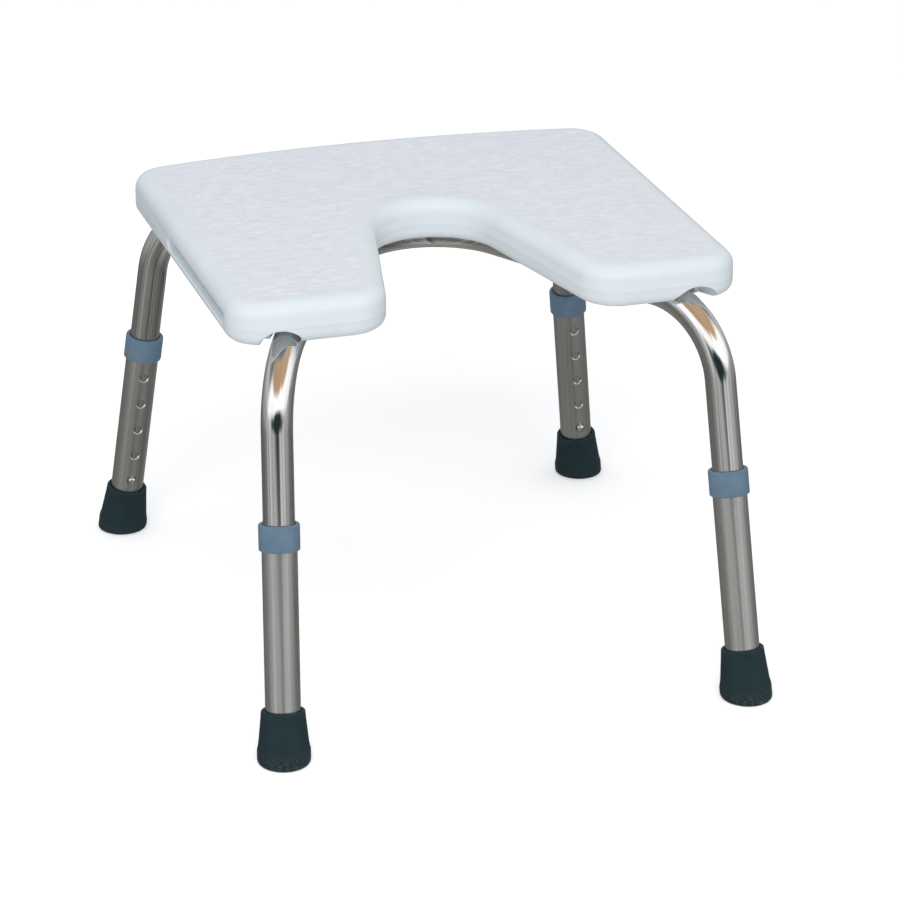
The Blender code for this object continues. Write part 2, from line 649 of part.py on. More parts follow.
corner_x = SEAT_WIDTH / 2 - CORNER_INSET
front_corner = Vector((-corner_x, SEAT_FRONT - FRONT_CORNER_OUT, RUN_HEIGHT))
rear_corner = Vector((-corner_x, SEAT_BACK + REAR_CORNER_OUT, RUN_HEIGHT))
rear_arc_centre = (CUTOUT_CENTRE + FRONT_HOOP_ARC + 2 * HOOP_RADIUS + HOOPS_APART
                   + REAR_HOOP_ARC)
HOOPS = (
    ("front_hoop", "F", front_corner, FRONT_LEAN_OUT, -FRONT_LEAN_FORWARD, 1,
     CUTOUT_CENTRE, FRONT_HOOP_ARC, FRONT_LEG_BEND),
    ("rear_hoop", "R", rear_corner, REAR_LEAN_OUT, REAR_LEAN_BACK, -1,
     rear_arc_centre, REAR_HOOP_ARC, REAR_LEG_BEND),
)

hoops, screw_places = [], []
for hoop_name, end, corner, lean_out, lean_y, facing, arc_centre, arc_radius, leg_bend in HOOPS:
    apex = tangent_apex(corner, arc_centre, arc_radius, facing)
    legs = []
    for side, hand in ((-1, "L"), (1, "R")):
        place = Vector((side * corner_x, corner.y, corner.z))
        matrix = leg_frame(place, side * lean_out, lean_y, facing)
        tag = end + hand
        legs.append({"tag": tag, "frame": matrix, "empty": add_empty("leg_axis_" + tag, matrix)})
    hoop = build_hoop(hoop_name, legs, corner, apex, arc_radius, leg_bend)
    hoops.append(hoop)
    for leg in legs:
        leg["hoop"] = hoop["part"]
        build_leg(leg)
        build_button(leg)
    side_place = run_place(corner, apex, arc_radius, RUN_SCREW_SHARE)
    bow_y = arc_centre + arc_radius * (1 if facing > 0 else -1)
    places = [(side_place.x, side_place.y), (-side_place.x, side_place.y)]
    if facing < 0:
        places.append((0, bow_y))
    for place in places:
        screw_places.append(place)
        build_fixing(len(screw_places), place, hoop)
build_seat(hoops, screw_places)
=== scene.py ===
"""Looks of a height-adjustable shower stool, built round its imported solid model.

A white moulded seat with a cut-out stands on two bent bright tubes. Each tube end slides in a
satin leg with five height holes, a grey-blue collar and a rubber foot. Units are metres.
"""
import json
from math import asin, atan2, cos, pi, radians, sin, sqrt, tan

import bmesh
import bpy
from mathutils import Matrix, Vector


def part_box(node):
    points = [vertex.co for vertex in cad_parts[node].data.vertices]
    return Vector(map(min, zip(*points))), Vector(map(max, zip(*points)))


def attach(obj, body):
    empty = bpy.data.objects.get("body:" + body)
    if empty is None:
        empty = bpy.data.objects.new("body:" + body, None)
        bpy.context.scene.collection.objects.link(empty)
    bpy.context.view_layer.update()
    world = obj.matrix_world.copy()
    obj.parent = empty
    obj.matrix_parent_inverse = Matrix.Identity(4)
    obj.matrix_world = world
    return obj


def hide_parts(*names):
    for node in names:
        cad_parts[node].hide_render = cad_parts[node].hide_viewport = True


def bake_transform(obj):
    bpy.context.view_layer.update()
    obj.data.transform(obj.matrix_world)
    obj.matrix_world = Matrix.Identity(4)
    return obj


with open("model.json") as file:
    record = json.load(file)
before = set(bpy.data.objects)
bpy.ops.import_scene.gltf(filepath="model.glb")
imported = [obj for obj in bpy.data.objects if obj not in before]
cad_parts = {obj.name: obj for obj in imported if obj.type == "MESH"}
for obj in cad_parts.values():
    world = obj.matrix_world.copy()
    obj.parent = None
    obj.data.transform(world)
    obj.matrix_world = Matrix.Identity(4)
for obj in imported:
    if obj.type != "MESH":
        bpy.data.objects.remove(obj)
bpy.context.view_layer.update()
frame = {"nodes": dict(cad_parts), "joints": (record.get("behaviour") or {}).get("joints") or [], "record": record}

# Seat
SEAT_HEIGHT = 0.350
SEAT_WIDTH = 0.418
SEAT_DEPTH = 0.355
SEAT_THICKNESS = 0.034
BACK_BOW = 0.019
FRONT_CORNER_RADIUS = 0.028
BACK_CORNER_RADIUS = 0.032
CUTOUT_RADIUS = 0.0497
CUTOUT_CENTRE_FROM_FRONT = 0.1497
CUTOUT_FLARE = radians(13)
MOUTH_CORNER_RADIUS = 0.0345
TOP_EDGE_RADIUS = 0.012
BOTTOM_EDGE_RADIUS = 0.009
FIELD_INSET = 0.0158
FIELD_STEP_WIDTH = 0.0056
FIELD_STEP_DEPTH = 0.00025
GRIP_LENGTH = 0.186
GRIP_HEIGHT = 0.0105
GRIP_DEPTH = 0.007
GRIP_LIP = 0.0095
GRIP_FROM_FRONT = 0.030
GRIP_EASE = 0.0012
CHANNEL_DEPTH = 0.0116
MOUTH_AROUND_TUBE = 0.0055
MOUTH_ABOVE_CHANNEL = 0.0009
MOUTH_INSIDE = 0.014
VENT_RADIUS = 0.003
VENT_FROM_BACK = 0.030
VENT_DEPTH = 0.012
INSERT_HOLE_RADIUS = 0.0043
INSERT_HOLE_ABOVE_ROOF = 0.015
INSERT_HOLE_BELOW_ROOF = 0.004
PARTING_SHARE = 0.42
PARTING_HALF_WIDTH = 0.0005
PARTING_PROUD = 0.00012
CHANNEL_PAST_CORNER = 0.044
CORNER_TO_WALL = 0.0138
CUT_BEYOND = 0.002
BOW_SHARE = 0.78

# Tubes
HOOP_RADIUS = 0.0125
HOOP_WALL = 0.0012
CHANNEL_CLEARANCE = 0.0004
FRONT_LEG_BEND = 0.072
REAR_LEG_BEND = 0.076
CUTOUT_TO_HOOP = 0.0228
HOOPS_APART = 0.0025
REAR_HOOP_ARC = 0.070
HOOP_BELOW_HOLE = 0.014
LEG_RADIUS = 0.0140
LEG_WALL = 0.0012
HOLE_COUNT = 5
HOLE_PITCH = 0.0254
LOWEST_HOLE = 0.0533
HOLE_RADIUS = 0.0035
HOLE_EASE = 0.0007
LEG_TOP = 0.187
LEG_BOTTOM = 0.0106

# Collars, and the clearance bore they share with the feet
SLEEVE = 0.0143
COLLAR_RADIUS = 0.0162
COLLAR_TOP = 0.1903
COLLAR_HEIGHT = 0.021
COLLAR_ROUND = 0.0016
COLLAR_LOWER_ROUND = 0.0008
COLLAR_THROAT = 0.0129
COLLAR_LEAD_IN = 0.0007

# Feet
FOOT_HEIGHT = 0.0415
FOOT_TOP_RADIUS = 0.0175
FOOT_SOLE_RADIUS = 0.0212
FOOT_FLARE_HEIGHT = 0.0095
FOOT_SOLE_THICKNESS = 0.0085
FOOT_SOLE_ROUND = 0.0026
FOOT_RIM_ROUND = 0.0016
FOOT_LIP = 0.0009
FOOT_BAND = 0.006
FOOT_BAND_FLARE = 0.0003
FOOT_SHOULDER_HEIGHT = 0.0150
FOOT_SHOULDER_IN = 0.0012
FOOT_BELOW_FLOOR = 0.012
TREAD_FIRST_RADIUS = 0.0035
TREAD_PITCH = 0.0036
TREAD_COUNT = 4
TREAD_WIDTH = 0.0014
TREAD_DEPTH = 0.0020
GROUND_BLOCK = 0.05

# Buttons, their springs, and what holds the seat to the tubes
BUTTON_RADIUS = 0.0033
BUTTON_PROUD = 0.0028
BUTTON_DOME = 0.0023
BUTTON_FLANGE_RADIUS = 0.0042
BUTTON_FLANGE_LOW = 0.0087
BUTTON_FLANGE_TOP = 0.0094
SPRING_SPLIT = -0.0006
SCREW_RADIUS = 0.0030
SCREW_HEAD_RADIUS = 0.0055
SCREW_HEAD_HEIGHT = 0.0033
SCREW_HEAD_ROUND = 0.0015
SCREW_IN_SEAT = 0.0124
SCREW_TIP_EASE = 0.0006
SCREW_COUNT = 5
SOCKET_RADIUS = 0.0024
SOCKET_DEPTH = 0.0018
SADDLE_RADIUS = 0.0075
SADDLE_THICKNESS = 0.0032
SADDLE_BORE = 0.0033
SADDLE_EASE = 0.0006
SADDLE_SPARE = 0.001
GAP = 0.0003

# Divisions of round stretches
CORNER_STEPS = 14
BOW_STEPS = 24
CUTOUT_STEPS = 48
LEG_BEND_STEPS = 40
HOOP_ARC_STEPS = 56
HOOP_SIDES = 64
LEG_SIDES = 72
HOLE_SIDES = 40
SADDLE_CUT_SKIPS = 8

# Heights that follow
SEAT_BOTTOM = SEAT_HEIGHT - SEAT_THICKNESS
CHANNEL_RADIUS = HOOP_RADIUS + CHANNEL_CLEARANCE
RUN_HEIGHT = SEAT_BOTTOM + CHANNEL_DEPTH - CHANNEL_RADIUS
FRONT_HOOP_ARC = CUTOUT_RADIUS + CUTOUT_TO_HOOP
SEAT_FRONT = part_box("seat_panel")[0].y
SEAT_BACK = SEAT_FRONT + SEAT_DEPTH
CUTOUT_CENTRE = SEAT_FRONT + CUTOUT_CENTRE_FROM_FRONT
CORNERS = ("FL", "FR", "RL", "RR")
QUARTER_TURN = [k * pi / 12 for k in range(7)]


def mesh_object(name, bm, material=None):
    mesh = bpy.data.meshes.new(name)
    bm.to_mesh(mesh)
    bm.free()
    piece = bpy.data.objects.new(name, mesh)
    bpy.context.scene.collection.objects.link(piece)
    if material:
        mesh.materials.append(material)
    return piece


# Camera, floor and light

def look(azimuth, elevation, roll, aim, distance, lens):
    """Points the camera at the aim, from angles in degrees and a distance in metres."""
    a, e = radians(azimuth), radians(elevation)
    back = Vector((sin(a) * cos(e), -cos(a) * cos(e), sin(e)))
    camera = bpy.data.objects.new("camera", bpy.data.cameras.new("camera"))
    bpy.context.scene.collection.objects.link(camera)
    camera.location = Vector(aim) + back * distance
    turn = (-back).to_track_quat("-Z", "Y").to_matrix() @ Matrix.Rotation(radians(roll), 3, "Z")
    camera.rotation_euler = turn.to_euler()
    camera.data.lens = lens
    camera.data.sensor_width = 36
    bpy.context.scene.camera = camera


look(azimuth=-17.55, elevation=23.02, roll=0.31, aim=(0.0103, -0.0176, 0.1495), distance=3.093,
     lens=148.5)
bpy.context.scene.view_settings.view_transform = "Standard"


def wired(tree, kind, settings=None, **inputs):
    """A new node with its settings, and its inputs set or linked by socket name or number."""
    node = tree.nodes.new(kind)
    for key, value in (settings or {}).items():
        setattr(node, key, value)
    for key, value in inputs.items():
        name = key.replace("_", " ")
        if key[0] == "i" and key[1:].isdigit():
            socket = node.inputs[int(key[1:])]
        else:
            socket = next(s for s in node.inputs if s.name == name and s.enabled)
        if isinstance(value, bpy.types.NodeSocket):
            tree.links.new(value, socket)
        elif isinstance(value, bpy.types.Node):
            tree.links.new(next(s for s in value.outputs if s.enabled), socket)
        else:
            socket.default_value = value
    return node


def noise(tree, place, scale, detail=3.0, roughness=0.55):
    return wired(tree, "ShaderNodeTexNoise", Vector=place, Scale=scale, Detail=detail,
                 Roughness=roughness).outputs["Fac"]


def spread(tree, value, low, high, to_low, to_high, kind="LINEAR"):
    """Maps the value from one range to another and stops at the new range's ends."""
    return wired(tree, "ShaderNodeMapRange", {"interpolation_type": kind}, i0=value, i1=low,
                 i2=high, i3=to_low, i4=to_high).outputs[0]


def sums(tree, operation, a, b=0.0):
    return wired(tree, "ShaderNodeMath", {"operation": operation}, i0=a, i1=b).outputs[0]


def blend_colour(tree, share, a, b, kind="MIX"):
    return wired(tree, "ShaderNodeMix", {"data_type": "RGBA", "blend_type": kind}, i0=share,
                 i6=a, i7=b).outputs[2]


def ramp(tree, value, stops):
    node = wired(tree, "ShaderNodeValToRGB", Fac=value)
    node.color_ramp.interpolation = "EASE"
    band = node.color_ramp.elements
    while len(band) > 1:
        band.remove(band[0])
    band[0].position, band[0].color = stops[0][0], (*stops[0][1], 1)
    for place, colour in stops[1:]:
        band.new(place).color = (*colour, 1)
    return node.outputs[0]


def grey(v):
    return (v, v, v)


def sky_patch(tree, way, bearing, elevation, middle, half, ragged):
    """1 inside a ragged ellipse of the sky and 0 outside; its middle and half sizes in degrees."""
    across = sums(tree, "DIVIDE", sums(tree, "SUBTRACT", bearing, radians(middle[0])),
                  radians(half[0]))
    along = sums(tree, "DIVIDE", sums(tree, "SUBTRACT", elevation, radians(middle[1])),
                 radians(half[1]))
    square = sums(tree, "ADD", sums(tree, "MULTIPLY", across, across),
                  sums(tree, "MULTIPLY", along, along))
    wobble = spread(tree, noise(tree, way, 2.2, 1.5), 0.3, 0.7, -ragged, ragged)
    return spread(tree, sums(tree, "ADD", square, wobble), 1.6, 0.3, 0.0, 1.0, "SMOOTHSTEP")


def studio_world():
    """Even light on the object, pale to the eye, and a streaky studio in its reflections."""
    world = bpy.data.worlds.new("studio")
    bpy.context.scene.world = world
    world.use_nodes = True
    tree = world.node_tree
    tree.nodes.clear()
    way = wired(tree, "ShaderNodeTexCoord").outputs["Generated"]
    split = wired(tree, "ShaderNodeSeparateXYZ", Vector=way)
    x, y, z = split.outputs
    height = spread(tree, z, -1.0, 1.0, 0.0, 1.0)
    elevation = sums(tree, "ARCSINE", z)
    bearing = sums(tree, "ARCTAN2", x, sums(tree, "MULTIPLY", y, -1.0))
    front = ramp(tree, height, [
        (0.00, (0.40, 0.39, 0.37)), (0.20, (0.150, 0.148, 0.140)), (0.36, (0.29, 0.288, 0.278)),
        (0.50, (0.52, 0.52, 0.52)), (0.56, (0.60, 0.605, 0.61)), (0.63, (1.25, 1.26, 1.27)),
        (0.86, (1.50, 1.50, 1.50)), (0.95, (0.90, 0.90, 0.92)), (1.00, (0.35, 0.36, 0.38))])
    rear = ramp(tree, height, [
        (0.00, (0.28, 0.27, 0.25)), (0.35, (0.16, 0.155, 0.145)), (0.50, (0.40, 0.40, 0.40)),
        (0.66, (0.62, 0.62, 0.62)), (0.82, (0.20, 0.21, 0.22)), (0.97, (0.10, 0.105, 0.11))])
    ahead = spread(tree, y, 0.25, -0.25, 0.0, 1.0, "SMOOTHSTEP")
    rooms = blend_colour(tree, ahead, rear, front)
    bands = wired(tree, "ShaderNodeTexNoise", {"noise_dimensions": "1D"}, W=bearing, Scale=3.1,
                  Detail=3.0, Roughness=0.65).outputs[0]
    streaks = ramp(tree, bands, [(0.34, grey(0.45)), (0.44, grey(0.85)), (0.52, grey(1.0)),
                                 (0.60, grey(1.35)), (0.68, grey(1.65))])
    low = spread(tree, z, 0.30, 0.02, 0.12, 1.0, "SMOOTHSTEP")
    rooms = blend_colour(tree, low, rooms, blend_colour(tree, 1.0, rooms, streaks, "MULTIPLY"))
    warm = sky_patch(tree, way, bearing, elevation, middle=(-10, 60), half=(115, 21), ragged=0.35)
    rooms = blend_colour(tree, warm, rooms, (0.60, 0.40, 0.24, 1))
    dark = sky_patch(tree, way, bearing, elevation, middle=(-12, 12), half=(46, 12), ragged=0.35)
    rooms = blend_colour(tree, dark, rooms, (0.024, 0.036, 0.040, 1))
    from_line = sums(tree, "ABSOLUTE", sums(tree, "SUBTRACT", bearing, radians(80)))
    line = spread(tree, from_line, radians(5), radians(12), 0.6, 0.0)
    shiny = blend_colour(tree, sums(tree, "MULTIPLY", line, low), rooms, (0.03, 0.033, 0.04, 1))
    ray = wired(tree, "ShaderNodeLightPath")
    seen = blend_colour(tree, ray.outputs["Is Camera Ray"], (0.50, 0.51, 0.53, 1),
                        (1.0, 1.0, 1.0, 1))
    both = blend_colour(tree, ray.outputs["Is Glossy Ray"], seen, shiny)
    light = wired(tree, "ShaderNodeBackground", i0=both, i1=1.0)
    wired(tree, "ShaderNodeOutputWorld", i0=light.outputs[0])


def softbox(name, place, aim, size, power):
    lamp = bpy.data.objects.new(name, bpy.data.lights.new(name, "AREA"))
    bpy.context.scene.collection.objects.link(lamp)
    lamp.data.shape = "RECTANGLE"
    lamp.data.size, lamp.data.size_y = size
    lamp.data.energy = power
    lamp.location = place
    lamp.rotation_euler = (Vector(aim) - Vector(place)).to_track_quat("-Z", "Y").to_euler()
    lamp.visible_glossy = False


def pale_floor(half_width=30, near=0.9, far=5.0, near_lift=0.34, far_lift=0.56):
    """A pale floor that catches soft shadows and, to the eye, fades to white with distance."""
    bm = bmesh.new()
    bmesh.ops.create_grid(bm, x_segments=1, y_segments=1, size=half_width)
    floor = mesh_object("floor", bm)
    floor.visible_glossy = False
    material = bpy.data.materials.new("pale floor")
    material.use_nodes = True
    tree = material.node_tree
    tree.nodes.clear()
    matt = wired(tree, "ShaderNodeBsdfDiffuse", Color=(0.90, 0.90, 0.90, 1))
    ray = wired(tree, "ShaderNodeLightPath")
    glow = wired(tree, "ShaderNodeEmission", Color=(1, 1, 1, 1))
    place = wired(tree, "ShaderNodeTexCoord").outputs["Object"]
    away = wired(tree, "ShaderNodeVectorMath", {"operation": "LENGTH"}, i0=place).outputs["Value"]
    lift = sums(tree, "MULTIPLY", ray.outputs["Is Camera Ray"],
                spread(tree, away, near, far, near_lift, far_lift))
    tree.links.new(lift, glow.inputs["Strength"])
    both = wired(tree, "ShaderNodeAddShader", i0=matt.outputs[0], i1=glow.outputs[0])
    wired(tree, "ShaderNodeOutputMaterial", Surface=both.outputs[0])
    floor.data.materials.append(material)


studio_world()
softbox("key softbox", place=(-0.7, -2.0, 2.3), aim=(0, 0, 0.25), size=(2.2, 1.6), power=44)
softbox("top softbox", place=(0.3, 0.5, 2.6), aim=(0, 0, 0.3), size=(2.4, 2.4), power=12)
pale_floor()


# Materials: every pattern reads the piece's own place, in metres

def new_finish(name, **shader_inputs):
    material = bpy.data.materials.new(name)
    material.use_nodes = True
    tree = material.node_tree
    shader = tree.nodes["Principled BSDF"]
    for key, value in shader_inputs.items():
        shader.inputs[key.replace("_", " ")].default_value = value
    return material, tree, shader


def own_place(tree, scale=(1, 1, 1), attribute="own_place"):
    """The piece's own coordinates, stretched: from its stored place, or the object's."""
    if attribute:
        source = wired(tree, "ShaderNodeAttribute", {"attribute_name": attribute}).outputs["Vector"]
    else:
        source = wired(tree, "ShaderNodeTexCoord").outputs["Object"]
    return wired(tree, "ShaderNodeMapping", Vector=source, Scale=scale).outputs[0]


def bump(tree, shader, heights):
    """Chains bumps; each has its height, its distance in metres and its strength."""
    normal = None
    for height, distance, strength in heights:
        inputs = {"Height": height, "Distance": distance, "Strength": strength}
        if normal is not None:
            inputs["Normal"] = normal
        normal = wired(tree, "ShaderNodeBump", **inputs).outputs[0]
    tree.links.new(normal, shader.inputs["Normal"])


def seat_plastic():
    """White polyethylene: a short-dashed leathery field inside smooth moulded borders."""
    material, tree, shader = new_finish("seat_white_plastic", IOR=1.50, Specular_IOR_Level=0.42)
    plain = own_place(tree, attribute=None)
    field = wired(tree, "ShaderNodeAttribute", {"attribute_name": "field"}).outputs["Fac"]
    warp = wired(tree, "ShaderNodeTexNoise", Vector=plain, Scale=160.0, Detail=2.0)
    bent = wired(tree, "ShaderNodeVectorMath", {"operation": "MULTIPLY_ADD"},
                 i0=warp.outputs["Color"], i1=(0.0022, 0.0012, 0), i2=plain).outputs[0]
    dashes = wired(tree, "ShaderNodeMapping", Vector=bent, Scale=(0.36, 1.0, 1.0)).outputs[0]
    cells = wired(tree, "ShaderNodeTexVoronoi", {"feature": "SMOOTH_F1"}, Vector=dashes,
                  Scale=520.0, Smoothness=0.35, Randomness=0.9).outputs["Distance"]
    creases = wired(tree, "ShaderNodeTexVoronoi", {"feature": "DISTANCE_TO_EDGE"}, Vector=dashes,
                    Scale=330.0, Randomness=1.0).outputs["Distance"]
    crease = spread(tree, creases, 0.0, 0.16, 0.0, 1.0)
    pebble = spread(tree, cells, 0.08, 0.62, 1.0, 0.0)
    grain = sums(tree, "MULTIPLY", pebble, crease)
    raised = sums(tree, "MULTIPLY", grain, field)
    patches = noise(tree, plain, 22.0, 3.0)
    mottle = noise(tree, dashes, 250.0, 3.0, 0.6)
    skin = noise(tree, plain, 900.0, 2.0)
    smooth_white = blend_colour(tree, spread(tree, patches, 0.35, 0.65, 0.0, 1.0),
                                (0.725, 0.785, 0.815, 1), (0.75, 0.81, 0.84, 1))
    worn = blend_colour(tree, spread(tree, mottle, 0.36, 0.66, 0.0, 1.0),
                        (0.755, 0.775, 0.825, 1), (0.865, 0.88, 0.92, 1))
    # Painted shade: the low creases between the raised pebbles of the grain are darkened towards blue grey.
    shaded = blend_colour(tree, spread(tree, grain, 0.0, 0.6, 0.30, 0.0), worn,
                          (0.62, 0.64, 0.70, 1))
    colour = blend_colour(tree, field, smooth_white, shaded)
    tree.links.new(colour, shader.inputs["Base Color"])
    rough = sums(tree, "ADD", spread(tree, skin, 0.3, 0.7, 0.30, 0.40),
                 sums(tree, "MULTIPLY", field, 0.20))
    tree.links.new(rough, shader.inputs["Roughness"])
    bump(tree, shader, [(raised, 0.00028, 1.0), (skin, 0.00002, 0.5), (patches, 0.0008, 0.25)])
    return material


def drawn_metal(name, dark, light, low_rough, high_rough, line_height, anisotropic):
    """Metal tube with fine lines along its length, faint clouding and small scratches."""
    material, tree, shader = new_finish(name, Metallic=1.0, Anisotropic=anisotropic)
    lines = noise(tree, own_place(tree, (1, 1, 0.006)), 1300.0, 3.0, 0.6)
    wide = noise(tree, own_place(tree, (1, 1, 0.012)), 300.0, 2.0)
    clouds = noise(tree, own_place(tree, (1, 1, 0.2)), 60.0, 2.0)
    rubs = noise(tree, own_place(tree, (1, 1, 0.02)), 900.0, 1.0)
    some = spread(tree, clouds, 0.50, 0.64, 0.0, 1.0)
    scratch = sums(tree, "MULTIPLY", spread(tree, rubs, 0.66, 0.70, 0.0, 1.0), some)
    colour = blend_colour(tree, spread(tree, wide, 0.3, 0.7, 0.0, 1.0), (*dark, 1), (*light, 1))
    colour = blend_colour(tree, spread(tree, lines, 0.35, 0.65, 0.0, 0.25), colour, (*dark, 1))
    tree.links.new(colour, shader.inputs["Base Color"])
    rough = spread(tree, clouds, 0.3, 0.7, low_rough, high_rough)
    rough = sums(tree, "ADD", rough, sums(tree, "MULTIPLY", scratch, 0.12))
    tree.links.new(rough, shader.inputs["Roughness"])
    bump(tree, shader, [(lines, line_height, 0.6), (wide, line_height * 4, 0.35),
                        (scratch, -0.00001, 0.4)])
    return material


def moulded(name, dark, light, low_rough, high_rough, grain_size, grain_height, dust=None):
    """Moulded plastic or rubber: fine grain, soft mottling and, if asked, pale dust low down."""
    material, tree, shader = new_finish(name, Specular_IOR_Level=0.32)
    place = own_place(tree)
    grain = noise(tree, place, 1 / grain_size, 3.0)
    clouds = noise(tree, place, 70.0, 4.0)
    flow = noise(tree, own_place(tree, (1, 1, 0.25)), 240.0, 2.0)
    colour = blend_colour(tree, spread(tree, clouds, 0.3, 0.7, 0.0, 1.0), (*dark, 1), (*light, 1))
    colour = blend_colour(tree, spread(tree, flow, 0.4, 0.7, 0.0, 0.18), colour, (*light, 1))
    if dust:
        height = wired(tree, "ShaderNodeSeparateXYZ", Vector=place).outputs[2]
        low = spread(tree, height, 0.012, -0.004, 0.0, 1.0)
        speck = spread(tree, noise(tree, place, 420.0, 5.0, 0.7), 0.45, 0.75, 0.0, 1.0)
        colour = blend_colour(tree, sums(tree, "MULTIPLY", low, speck), colour, (*dust, 1))
    tree.links.new(colour, shader.inputs["Base Color"])
    rough = spread(tree, clouds, 0.3, 0.7, low_rough, high_rough)
    tree.links.new(rough, shader.inputs["Roughness"])
    bump(tree, shader, [(grain, grain_height, 0.7), (flow, grain_height * 2, 0.3)])
    return material


def turned_metal(name, dark, light, low_rough, high_rough, attribute="own_place"):
    """Small metal parts: turning lines round the axis and blotchy plating."""
    material, tree, shader = new_finish(name, Metallic=1.0)
    place = own_place(tree, (1, 1, 1), attribute)
    blotches = noise(tree, place, 330.0, 4.0, 0.6)
    rings = noise(tree, own_place(tree, (0.08, 0.08, 1), attribute), 2600.0, 2.0)
    colour = blend_colour(tree, spread(tree, blotches, 0.35, 0.65, 0.0, 1.0), (*dark, 1), (*light, 1))
    tree.links.new(colour, shader.inputs["Base Color"])
    rough = spread(tree, blotches, 0.3, 0.7, low_rough, high_rough)
    tree.links.new(rough, shader.inputs["Roughness"])
    bump(tree, shader, [(rings, 0.000012, 0.6)])
    return material


SEAT_WHITE = seat_plastic()
BRIGHT_TUBE = drawn_metal("bright_drawn_tube", (0.68, 0.68, 0.67), (0.82, 0.82, 0.815),
                          0.04, 0.10, line_height=0.000004, anisotropic=0.0)
SATIN_LEG = drawn_metal("satin_drawn_leg", (0.72, 0.715, 0.70), (0.88, 0.875, 0.86),
                        0.23, 0.32, line_height=0.000008, anisotropic=0.3)
COLLAR_BLUE = moulded("collar_blue_grey", (0.115, 0.185, 0.255), (0.15, 0.23, 0.305),
                      0.36, 0.50, grain_size=0.00055, grain_height=0.00003)
FOOT_RUBBER = moulded("foot_dark_rubber", (0.006, 0.023, 0.029), (0.011, 0.032, 0.039),
                      0.50, 0.66, grain_size=0.00045, grain_height=0.00005, dust=(0.10, 0.11, 0.11))
SADDLE_NYLON = moulded("saddle_grey_nylon", (0.16, 0.165, 0.17), (0.21, 0.215, 0.22),
                       0.42, 0.56, grain_size=0.00040, grain_height=0.00003)
PLATED = turned_metal("plated_steel", (0.62, 0.62, 0.60), (0.80, 0.80, 0.79), 0.12, 0.24)
BUTTON_STEEL = turned_metal("button_plated_steel", (0.66, 0.66, 0.65), (0.80, 0.80, 0.79), 0.05, 0.10)
PLATED_CAD = turned_metal("plated_washer", (0.56, 0.56, 0.54), (0.72, 0.72, 0.70), 0.2, 0.34, None)
SPRING_STEEL = turned_metal("blued_spring", (0.20, 0.21, 0.24), (0.36, 0.37, 0.40), 0.25, 0.40)
INSERT_BRASS = turned_metal("insert_brass", (0.62, 0.43, 0.18), (0.78, 0.58, 0.28), 0.22, 0.36, None)


# Mesh work

def bake(piece):
    """Turns a piece's modifiers into its own plain mesh."""
    bpy.context.view_layer.update()
    view = piece.evaluated_get(bpy.context.evaluated_depsgraph_get())
    mesh = bpy.data.meshes.new_from_object(view)
    mesh.name = piece.name
    piece.modifiers.clear()
    piece.data = mesh
    return piece


def clean(piece):
    """Joins points that a cut left almost together, and drops the slivers between them."""
    bm = bmesh.new()
    bm.from_mesh(piece.data)
    bmesh.ops.remove_doubles(bm, verts=bm.verts, dist=5e-6)
    bmesh.ops.dissolve_degenerate(bm, edges=bm.edges, dist=5e-6)
    bm.to_mesh(piece.data)
    bm.free()
    return piece


def place_mesh(piece, matrix):
    """Keeps the piece's own place as an attribute, then moves its mesh to where it stands."""
    mesh = piece.data
    if "own_place" not in mesh.attributes:
        own = mesh.attributes.new("own_place", "FLOAT_VECTOR", "POINT")
        flat = [c for v in mesh.vertices for c in v.co]
        own.data.foreach_set("vector", flat)
    mesh.transform(matrix)
    return piece


def smooth(piece, angle=30):
    piece.data.shade_smooth()
    piece.data.set_sharp_from_angle(angle=radians(angle))
    return piece


def cut(piece, *cutters):
    for cutter in cutters:
        boolean = piece.modifiers.new("cut", "BOOLEAN")
        boolean.operation = "DIFFERENCE"
        boolean.solver = "EXACT"
        boolean.object = cutter
    clean(bake(piece))
    for cutter in cutters:
        bpy.data.objects.remove(cutter)
    return piece


def turned(name, profile, material, steps=64):
    """Turns a closed or axis-to-axis outline about Z."""
    bm = bmesh.new()
    points = [bm.verts.new((r, 0, z)) for r, z in profile]
    on_axis = profile[0][0] < 1e-9 and profile[-1][0] < 1e-9
    edges = [bm.edges.new(pair) for pair in zip(points, points[1:])]
    if not on_axis:
        edges.append(bm.edges.new((points[-1], points[0])))
    bmesh.ops.spin(bm, geom=points + edges, cent=(0, 0, 0), axis=(0, 0, 1), angle=2 * pi,
                   steps=steps, use_merge=True)
    bmesh.ops.remove_doubles(bm, verts=bm.verts, dist=1e-6)
    bmesh.ops.recalc_face_normals(bm, faces=bm.faces)
    return mesh_object(name, bm, material)


def rounded(corners, radii, steps, closed):
    """A path through the corners, each turned on an arc of its own radius."""
    path = []
    count = len(corners)
    for i, (corner, radius, divisions) in enumerate(zip(corners, radii, steps)):
        if radius <= 0 or (not closed and i in (0, count - 1)):
            path.append(corner.copy())
            continue
        back = (corners[i - 1] - corner).normalized()
        on = (corners[(i + 1) % count] - corner).normalized()
        half = back.angle(on) / 2
        centre = corner + (back + on).normalized() * radius / sin(half)
        start = corner + back * radius / tan(half) - centre
        end = corner + on * radius / tan(half) - centre
        sweep = start.angle(end)
        for k in range(divisions + 1):
            share = k / divisions
            arm = (start * sin((1 - share) * sweep) + end * sin(share * sweep)) / sin(sweep)
            path.append(centre + arm)
    return path


# Geometry node trees

def new_nodes(name, sizes):
    """An empty tree with a geometry input and output, and a named input for each size."""
    tree = bpy.data.node_groups.new(name, "GeometryNodeTree")
    tree.interface.new_socket("Geometry", in_out="OUTPUT", socket_type="NodeSocketGeometry")
    tree.interface.new_socket("Geometry", in_out="INPUT", socket_type="NodeSocketGeometry")
    for size, kind in sizes.items():
        tree.interface.new_socket(size, in_out="INPUT", socket_type="NodeSocket" + kind)
    start = tree.nodes.new("NodeGroupInput")
    return tree, start.outputs


